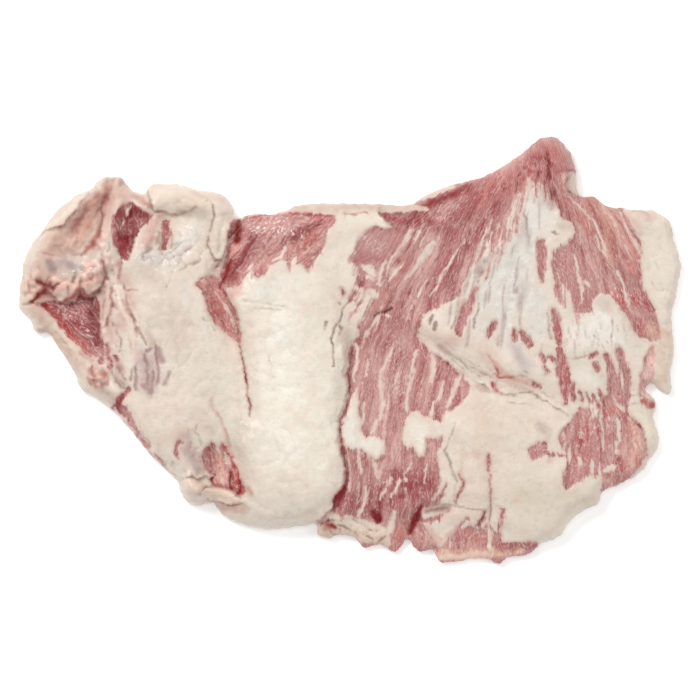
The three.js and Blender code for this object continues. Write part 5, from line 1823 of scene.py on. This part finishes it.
def folds(points, slope, width, length):
    """Soft folds that run along a slope: 0 in the creases between them, up to 1 on top."""
    across, down = points.T
    tilt = math.hypot(1.0, slope)
    side = (across - slope * down) / tilt
    run = (down + slope * across) / tilt
    swell = fractal_noise(side / width, run / length, FOLD_SEED, 2)
    return np.sqrt(np.minimum(FOLD_SWELL * np.abs(swell), 1.0))


def ground_relief(points, in_fat, fibres):
    """Relief that the fat and the lean have everywhere, in millimetres."""
    across, down = points.T
    lumps = sum(
        most * fractal_noise(across / size, down / size, seed, layers)
        for most, size, seed, layers in FAT_LUMPS
    )
    side, run = fibres[:, 0], fibres[:, 1]
    cords = sum(most * value_noise(side / width, run / length, seed) for most, width, length, seed in CORDS)
    return blend(cords, lumps, in_fat)


def relief(points, layer, fibres):
    """Fine relief of the top, in metres."""
    across, down = points.T
    in_fat = soft_edge(layer, FAT_EDGE)
    rise = ground_relief(points, in_fat, fibres)
    for most, size, path in CRAGS:
        rise += most * (crags(points, size) - CRAG_MIDDLE) * strokes_share(points, [path])
    for most, slope, width, length, path in FOLDS:
        rise += most * (folds(points, slope, width, length) - FOLD_MIDDLE) * strokes_share(points, [path])
    for most, size, path in ROUGH:
        bumps = fractal_noise(across / size, down / size, ROUGH_SEED, 2)
        rise += most * bumps * strokes_share(points, [path])
    for most, paths in RIDGES.values():
        rise += most * strokes_share(points, paths)
    for most, _, _, path in SCARPS.values():
        rise += most * scarp_rise(points, path)
    fading = uneven(points, *LINE_SHARE)
    for depth, _, _, paths in CREASES.values():
        rise -= depth * strokes_share(points, paths) * fading
    return rise / MILLIMETRES + FAT_STEP * (in_fat - 0.5)


def creased(points, colours):
    """Colours with the painted shade along the scarps' feet and the creases' colours laid over them."""
    lines = []
    for _, colour, most, path in SCARPS.values():
        lines.append((colour, most, [[(across, down, SCARP_SHADE_HALF) for across, down, _ in path]]))
    lines += [(colour, most, paths) for _, colour, most, paths in CREASES.values()]
    fading = uneven(points, *LINE_SHARE)
    for colour, most, paths in lines:
        share = most * strokes_share(points, paths)
        if most < 1.0:
            share *= fading
        colours = blend(colours, linear(colour), share[:, None])
    return colours


def along_path(path, step):
    """Points at even steps along a stroke's path, each with the unit vector to its side."""
    knots = np.asarray(path, float)[:, :2]
    for start, end in zip(knots[:-1], knots[1:]):
        along = end - start
        length = np.hypot(*along)
        side = np.array([-along[1], along[0]]) / length
        shares = np.arange(0.5, max(length / step, 1.0)) * step / length
        yield start + shares[:, None] * along, side


def sharp_points():
    """Points on both sides of each scarp and in the middle of each thin line, which keep both sharp."""
    rows = []
    for _, _, _, path in SCARPS.values():
        for line, side in along_path(path, SCARP_STEP):
            rows += [line + side * SCARP_SIDE, line - side * SCARP_SIDE]
    groups = [*LEAN_STROKES.values(), *FAT_STROKES.values(), *(row[-1] for row in CREASES.values())]
    for path in (path for paths in groups for path in paths):
        if max(half for _, _, half in path) < THIN_LINE:
            rows += [line for line, _ in along_path(path, LINE_STEP)]
    wanted = np.vstack(rows)
    points = wanted.copy()
    for _ in range(UNWARP_ROUNDS):
        points += wanted - warped(points)
    return thinned(points, LEAST_GAP)


def thinned(points, least):
    """The points without those that lie closer than least to an earlier one."""
    tree = search_tree(points)
    kept = np.ones(len(points), bool)
    for index, (across, down) in enumerate(points):
        if kept[index]:
            later = [other for _, other, _ in tree.find_range((across, down, 0.0), least) if other > index]
            kept[later] = False
    return points[kept]


def top_points(rim):
    """Points of the top inside the rim, closer at the rim and along sharp lines, with their inset."""
    lattice_points, lattice_inset = lattice(rim, TOP_STEP, CLEAR_OF_RIM)
    ring_points, ring_inset = rim_rings(rim)
    line_points = sharp_points()
    line_points = line_points[inside_ring(line_points, rim)]
    line_inset = rim_gap(line_points, rim)
    clear = line_inset > CLEAR_OF_RIM
    line_points, line_inset = line_points[clear], line_inset[clear]
    open_ground = nearest_gap(lattice_points, line_points) > CLEAR_OF_LINE
    points = np.vstack([ring_points, line_points, lattice_points[open_ground]])
    return points, np.concatenate([ring_inset, line_inset, lattice_inset[open_ground]])


def top_heights(node, points, inset, fine, pairs):
    """Heights of the top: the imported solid's, with the fine relief on them and a rounded rim."""
    body = body_heights(node, points, inset, pairs)
    body = np.maximum(body + fine, RIM_HEIGHT + LEAST_HEIGHT)
    shoulder = np.clip(SHOULDER_SHARE * body, LEAST_SHOULDER, MOST_SHOULDER)
    return RIM_HEIGHT + (body - RIM_HEIGHT) * quarter_round(inset * PIXEL / shoulder)


def hollow_shades(fine, pairs, count):
    """Share of the painted shade in hollows at each of count points: the top's first, then none for the
    underside.
    """
    depth = np.zeros(count)
    everywhere = np.ones(len(fine), bool)
    depth[: len(fine)] = relax(fine, pairs, HOLLOW_ROUNDS, everywhere) - fine
    return HOLLOW_SHADE_MOST * smooth(depth / HOLLOW_SHADE_DEPTH)[:, None]


def store(mesh, name, kind, values):
    """Keeps one value for each vertex under a name that the material reads."""
    attribute = mesh.attributes.new(name, kind, "POINT")
    field = {"FLOAT": "value", "FLOAT_VECTOR": "vector", "FLOAT_COLOR": "color"}[kind]
    attribute.data.foreach_set(field, np.ascontiguousarray(values, dtype=np.float32).ravel())


def opaque(colours):
    """Colours with full alpha."""
    return np.hstack([colours, np.ones((len(colours), 1))])


def paint(mesh, points, painted, fibres, layer, hollow):
    """Keeps what the material reads: where each look lies, which way the fibres run, and the colours."""
    store(mesh, "fat", "FLOAT", with_marbling(painted, fibres, layer))
    store(mesh, "feather", "FLOAT", strongest(points, FEATHER_EVERYWHERE, FEATHERS))
    store(mesh, "net", "FLOAT", strongest(points, 0.0, NETS))
    store(mesh, "wet_highlight", "FLOAT", strongest(points, WET_HIGHLIGHT_EVERYWHERE, WET_HIGHLIGHTS))
    store(mesh, "glint", "FLOAT", strongest(points, 0.0, GLINTS))
    store(mesh, "veil", "FLOAT", veil(painted, fibres))
    store(mesh, "grain", "FLOAT_VECTOR", fibres)
    # Both the fat's and the lean's colours take painted shade in the hollows of the relief
    fat_colours = blend(tinted(painted, FAT_COLOUR, FAT_TINTS), linear(FAT_HOLLOW_SHADE), hollow)
    lean_colours = tinted(painted, LEAN_COLOUR, LEAN_TINTS) * tones(points, fibres) * LEAN_BLUSH
    lean_colours = blend(lean_colours, linear(LEAN_HOLLOW_SHADE), hollow)
    store(mesh, "fat_colour", "FLOAT_COLOR", opaque(creased(painted, fat_colours)))
    store(mesh, "lean_colour", "FLOAT_COLOR", opaque(creased(painted, lean_colours)))


def make_piece(node):
    """The fine mesh of the whole piece: its top, its rim and its underside."""
    rim = fine_rim(solid_rim(node))
    top_inner, inner_inset = top_points(rim)
    base_inner, base_inset = lattice(rim, BASE_STEP, BASE_STEP / 2)
    top_faces = triangles(rim, top_inner)
    base_faces = triangles(rim, base_inner)
    top_count = len(rim) + len(top_inner)
    points = np.vstack([rim, top_inner, base_inner])

    painted = warped(points)
    fibres = grain(points)
    layer = fat_layer(painted)
    fine = relief(painted, layer, fibres)[:top_count]
    pairs = edge_pairs(top_faces)
    top_inset = np.concatenate([np.zeros(len(rim)), inner_inset])
    upper = top_heights(node, points[:top_count], top_inset, fine, pairs)
    lower = RIM_HEIGHT * (1.0 - smooth(base_inset / UNDERCUT_PIXELS))
    places = np.column_stack([to_frame(points), np.concatenate([upper, lower])])

    under_faces = np.where(base_faces < len(rim), base_faces, base_faces + len(top_inner))
    faces = np.vstack([facing(places, top_faces, 1.0), facing(places, under_faces, -1.0)])
    mesh = bpy.data.meshes.new("secreto_meat")
    mesh.from_pydata(places.tolist(), [], faces.tolist())
    mesh.polygons.foreach_set("use_smooth", np.ones(len(mesh.polygons), bool))
    paint(mesh, points, painted, fibres, layer, hollow_shades(fine, pairs, len(points)))
    mesh.update()
    piece = bpy.data.objects.new("secreto_meat", mesh)
    bpy.context.scene.collection.objects.link(piece)
    return piece


def facing(places, faces, up):
    """The triangles turned to face up (1) or down (-1), as seen from above."""
    first, second, third = (places[faces[:, corner], :2] for corner in range(3))
    ab, ac = second - first, third - first
    turn = ab[:, 0] * ac[:, 1] - ab[:, 1] * ac[:, 0]
    wrong = turn * up < 0
    turned = faces.copy()
    turned[wrong] = faces[wrong][:, ::-1]
    return turned


class Steps:
    """Adds shader nodes and joins them, so that a material reads as a row of steps."""

    def __init__(self, name):
        self.material = bpy.data.materials.new(name)
        self.material.use_nodes = True
        self.tree = self.material.node_tree
        self.tree.nodes.clear()

    def put(self, kind, inputs, output=0, **settings):
        """Adds one node, sets or links its inputs, and returns one of its outputs."""
        node = self.tree.nodes.new(kind)
        for name, value in settings.items():
            setattr(node, name, value)
        for key, value in inputs.items():
            if isinstance(value, bpy.types.NodeSocket):
                self.tree.links.new(value, node.inputs[key])
            else:
                node.inputs[key].default_value = value
        return None if output is None else node.outputs[output]

    def attribute(self, name, output="Fac"):
        """What the mesh keeps under a name."""
        return self.put("ShaderNodeAttribute", {}, output, attribute_name=name)

    def math(self, operation, first, second):
        """One sum with two values."""
        return self.put("ShaderNodeMath", {0: first, 1: second}, operation=operation)

    def product(self, first, second):
        """One value times another."""
        return self.math("MULTIPLY", first, second)

    def about_zero(self, noise, reach):
        """Noise moved so that its middle is 0, and stretched by a reach."""
        return self.product(self.math("SUBTRACT", noise, MIDDLE_NOISE), reach)

    def vector(self, operation, first, second):
        """One sum with two vectors."""
        return self.put("ShaderNodeVectorMath", {0: first, 1: second}, operation=operation)

    def noise(self, vector, scale, detail, roughness, output=0):
        """Noise over a vector that is stretched by a scale."""
        stretched = self.vector("MULTIPLY", vector, scale)
        inputs = {"Vector": stretched, "Scale": 1.0, "Detail": detail, "Roughness": roughness}
        return self.put("ShaderNodeTexNoise", inputs, output)

    def borders(self, vector, scale, width):
        """1 on the borders of random cells, 0 a width away from them."""
        inputs = {"Vector": self.vector("MULTIPLY", vector, scale), "Scale": 1.0}
        settings = {"feature": "DISTANCE_TO_EDGE", "voronoi_dimensions": "2D"}
        distance = self.put("ShaderNodeTexVoronoi", inputs, "Distance", **settings)
        return self.span(distance, 0.0, width, 1.0, 0.0)

    def span(self, value, low, high, first=0.0, last=1.0):
        """Eases from first to last as the value goes from low to high."""
        inputs = {"Value": value, "From Min": low, "From Max": high, "To Min": first, "To Max": last}
        return self.put("ShaderNodeMapRange", inputs, interpolation_type="SMOOTHSTEP")

    def mix(self, share, first, second, how="MIX"):
        """The second colour laid over the first by a share."""
        return self.put("ShaderNodeMix", {0: share, 6: first, 7: second}, 2, data_type="RGBA", blend_type=how)

    def mix_value(self, share, first, second):
        """From the first value to the second by a share."""
        return self.put("ShaderNodeMix", {0: share, 2: first, 3: second}, 0, data_type="FLOAT")

    def weighted(self, noises, rows):
        """The sum of two kinds of noise, each times its weight."""
        first, second = (self.product(noises[name], weight) for name, weight in rows)
        return self.math("ADD", first, second)


def solid_colour(colour):
    """A colour for a shader socket."""
    return (*linear(colour), 1.0)


def wavy_fibres(steps):
    """The fibre coordinates that the mesh keeps, made wavy."""
    parts = steps.put("ShaderNodeSeparateXYZ", {0: steps.attribute("grain", "Vector")}).node.outputs
    fibres = steps.put("ShaderNodeCombineXYZ", {0: parts[0], 1: parts[1], 2: 0.0})
    curl = steps.noise(fibres, CURL_SCALE, CURL_DETAIL, CURL_ROUGHNESS, "Color")
    curl = steps.vector("SUBTRACT", curl, (MIDDLE_NOISE, MIDDLE_NOISE, MIDDLE_NOISE))
    return steps.vector("ADD", fibres, steps.vector("MULTIPLY", curl, CURL_REACH))


def meat_noises(steps):
    """Every kind of noise that the material is made of, by name."""
    wavy = wavy_fibres(steps)
    place = steps.put("ShaderNodeTexCoord", {}, "Object")
    noises = {}
    for name, (scale, detail, roughness) in FIBRE_NOISES.items():
        noises[name] = steps.noise(wavy, scale, detail, roughness)
    for name, (scale, detail, roughness) in PLACE_NOISES.items():
        noises[name] = steps.noise(place, (scale, scale, scale), detail, roughness)
    for name, (shift, scale, width) in CELL_BORDERS.items():
        noises[name] = steps.borders(steps.vector("ADD", wavy, shift), scale, width)
    return noises


def fat_level(steps, noises):
    """Pixels by which a spot lies in the fat, with a feathered and rippled border."""
    swing = steps.product(steps.about_zero(noises["streak"], FEATHER_SWING), steps.attribute("feather"))
    mottle = steps.about_zero(noises["mottle"], MOTTLE_RIPPLE)
    grit = steps.about_zero(noises["grit"], GRIT_RIPPLE)
    ripple = steps.math("ADD", mottle, grit)
    return steps.math("ADD", steps.math("ADD", steps.attribute("fat"), swing), ripple)


def toned(steps, noises, colour, rows):
    """The colour with each tone laid over it in turn."""
    for name, start, full, share, kept in rows:
        amount = steps.span(noises[name], start, full, 0.0, share)
        colour = steps.mix(amount, colour, (*kept, 1.0), "MULTIPLY")
    return colour


def lean_look(steps, noises):
    """Colour of the lean: painted, then fibres, pale lines between them, nets and specks of painted highlight
    where it is wet.
    """
    lean = steps.attribute("lean_colour", "Color")
    pale = steps.span(steps.put("ShaderNodeSeparateColor", {0: lean}, "Green"), *PALE_SPAN)
    lean = toned(steps, noises, lean, STRAND_TONES)
    lean = steps.mix(steps.product(steps.span(noises["strand"], *TAN_SPAN), pale), lean, solid_colour(TAN))
    lean = toned(steps, noises, lean, FIBRE_TONES)
    lean = steps.mix(steps.product(noises["groove"], GROOVE_SHARE), lean, (*GROOVE_TONE, 1.0), "MULTIPLY")
    lines = steps.product(noises["bundle"], steps.span(noises["fine"], *BUNDLE_SPAN))
    lean = steps.mix(steps.product(lines, pale), lean, solid_colour(PALE_FIBRE))
    lean = steps.mix(steps.product(noises["net"], steps.attribute("net")), lean, solid_colour(PALE_FIBRE))
    # Specks of painted highlight where the lean is wet
    wet_highlight = steps.product(steps.span(noises["highlight_specks"], *HIGHLIGHT_SPECK_SPAN), steps.attribute("wet_highlight"))
    return steps.mix(steps.product(wet_highlight, pale), lean, solid_colour(WET_HIGHLIGHT))


def fat_look(steps, noises, level):
    """Colour of the fat: painted, then mottled, with glints, veils of lean and a thin border."""
    fat = toned(steps, noises, steps.attribute("fat_colour", "Color"), FAT_TONES)
    shine = steps.product(steps.span(noises["fine"], *GLINT_SPAN), steps.attribute("glint"))
    fat = steps.mix(shine, fat, solid_colour(GLINT))
    seen = steps.product(steps.attribute("veil"), steps.span(noises["fine"], *VEIL_SPAN))
    fat = steps.mix(seen, fat, solid_colour(VEIL_COLOUR))
    thin = steps.mix(THIN_FAT_SHARE, fat, solid_colour(THIN_FAT_COLOUR))
    return steps.mix(steps.span(level, *FAT_GROWS_THICK), thin, fat)


def meat_bumps(steps, noises, in_fat):
    """The surface's direction, bent by bumps too fine for the mesh."""
    height = steps.mix_value(in_fat, steps.weighted(noises, LEAN_BUMPS), steps.weighted(noises, FAT_BUMPS))
    height = steps.math("ADD", height, steps.product(noises["speckle"], SPECKLE_BUMP))
    inputs = {"Strength": BUMP_STRENGTH, "Distance": BUMP_HEIGHT, "Height": height}
    return steps.put("ShaderNodeBump", inputs)


def make_meat():
    """Raw pork: cream fat and fibrous lean, parted along the painted border."""
    steps = Steps("raw_pork")
    noises = meat_noises(steps)
    level = fat_level(steps, noises)
    in_fat = steps.span(level, *FAT_SETS_IN)
    lean_roughness = steps.span(noises["strand"], *LEAN_ROUGHNESS)
    fat_roughness = steps.span(noises["patch"], *FAT_ROUGHNESS)
    inputs = {
        "Base Color": steps.mix(in_fat, lean_look(steps, noises), fat_look(steps, noises, level)),
        "Roughness": steps.mix_value(in_fat, lean_roughness, fat_roughness),
        "Normal": meat_bumps(steps, noises, in_fat),
        **MEAT_SURFACE,
    }
    surface = steps.put("ShaderNodeBsdfPrincipled", inputs)
    steps.put("ShaderNodeOutputMaterial", {"Surface": surface}, None)
    return steps.material


def make_floor():
    """A plain white floor, just under the piece."""
    mesh = bpy.data.meshes.new("floor")
    signs = ((-1, -1), (1, -1), (1, 1), (-1, 1))
    corners = [(x * FLOOR_REACH, y * FLOOR_REACH, FLOOR_HEIGHT) for x, y in signs]
    mesh.from_pydata(corners, [], [(0, 1, 2, 3)])
    material = bpy.data.materials.new("floor_white")
    material.use_nodes = True
    shader = material.node_tree.nodes["Principled BSDF"]
    for name, value in FLOOR_LOOK.items():
        shader.inputs[name].default_value = value
    mesh.materials.append(material)
    floor = bpy.data.objects.new("floor", mesh)
    bpy.context.scene.collection.objects.link(floor)


def make_light(name, place, size, power):
    """A square soft light that faces the piece."""
    light = bpy.data.lights.new(name, "AREA")
    light.shape = "SQUARE"
    light.size = size
    light.energy = power
    lamp = bpy.data.objects.new(name, light)
    lamp.location = place
    lamp.rotation_euler = (-Vector(place)).to_track_quat("-Z", "Y").to_euler()
    bpy.context.scene.collection.objects.link(lamp)


def make_lights():
    """Soft boxes around the piece and an even white surround."""
    for name, (place, size, power) in SOFT_BOXES.items():
        make_light(name, place, size, power)
    world = bpy.data.worlds.new("surround")
    world.use_nodes = True
    background = world.node_tree.nodes["Background"]
    background.inputs["Color"].default_value = WHITE
    background.inputs["Strength"].default_value = SURROUND_STRENGTH
    bpy.context.scene.world = world


def make_camera():
    """A long lens straight above the middle of the photograph's frame."""
    camera = bpy.data.cameras.new("camera")
    view = PHOTO_SIDE * PIXEL
    camera.sensor_width = SENSOR_WIDTH
    camera.lens = SENSOR_WIDTH * CAMERA_DISTANCE / view
    eye = bpy.data.objects.new("camera", camera)
    middle = to_frame(np.array([[PHOTO_SIDE / 2, PHOTO_SIDE / 2]]))[0]
    eye.location = (middle[0], middle[1], CAMERA_DISTANCE + RIM_HEIGHT)
    bpy.context.scene.collection.objects.link(eye)
    bpy.context.scene.camera = eye
    bpy.context.scene.view_settings.view_transform = "Standard"


make_camera()
make_lights()
make_floor()
piece = make_piece(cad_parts["secreto"])
piece.data.materials.append(make_meat())
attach(piece, "root")
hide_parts("secreto")
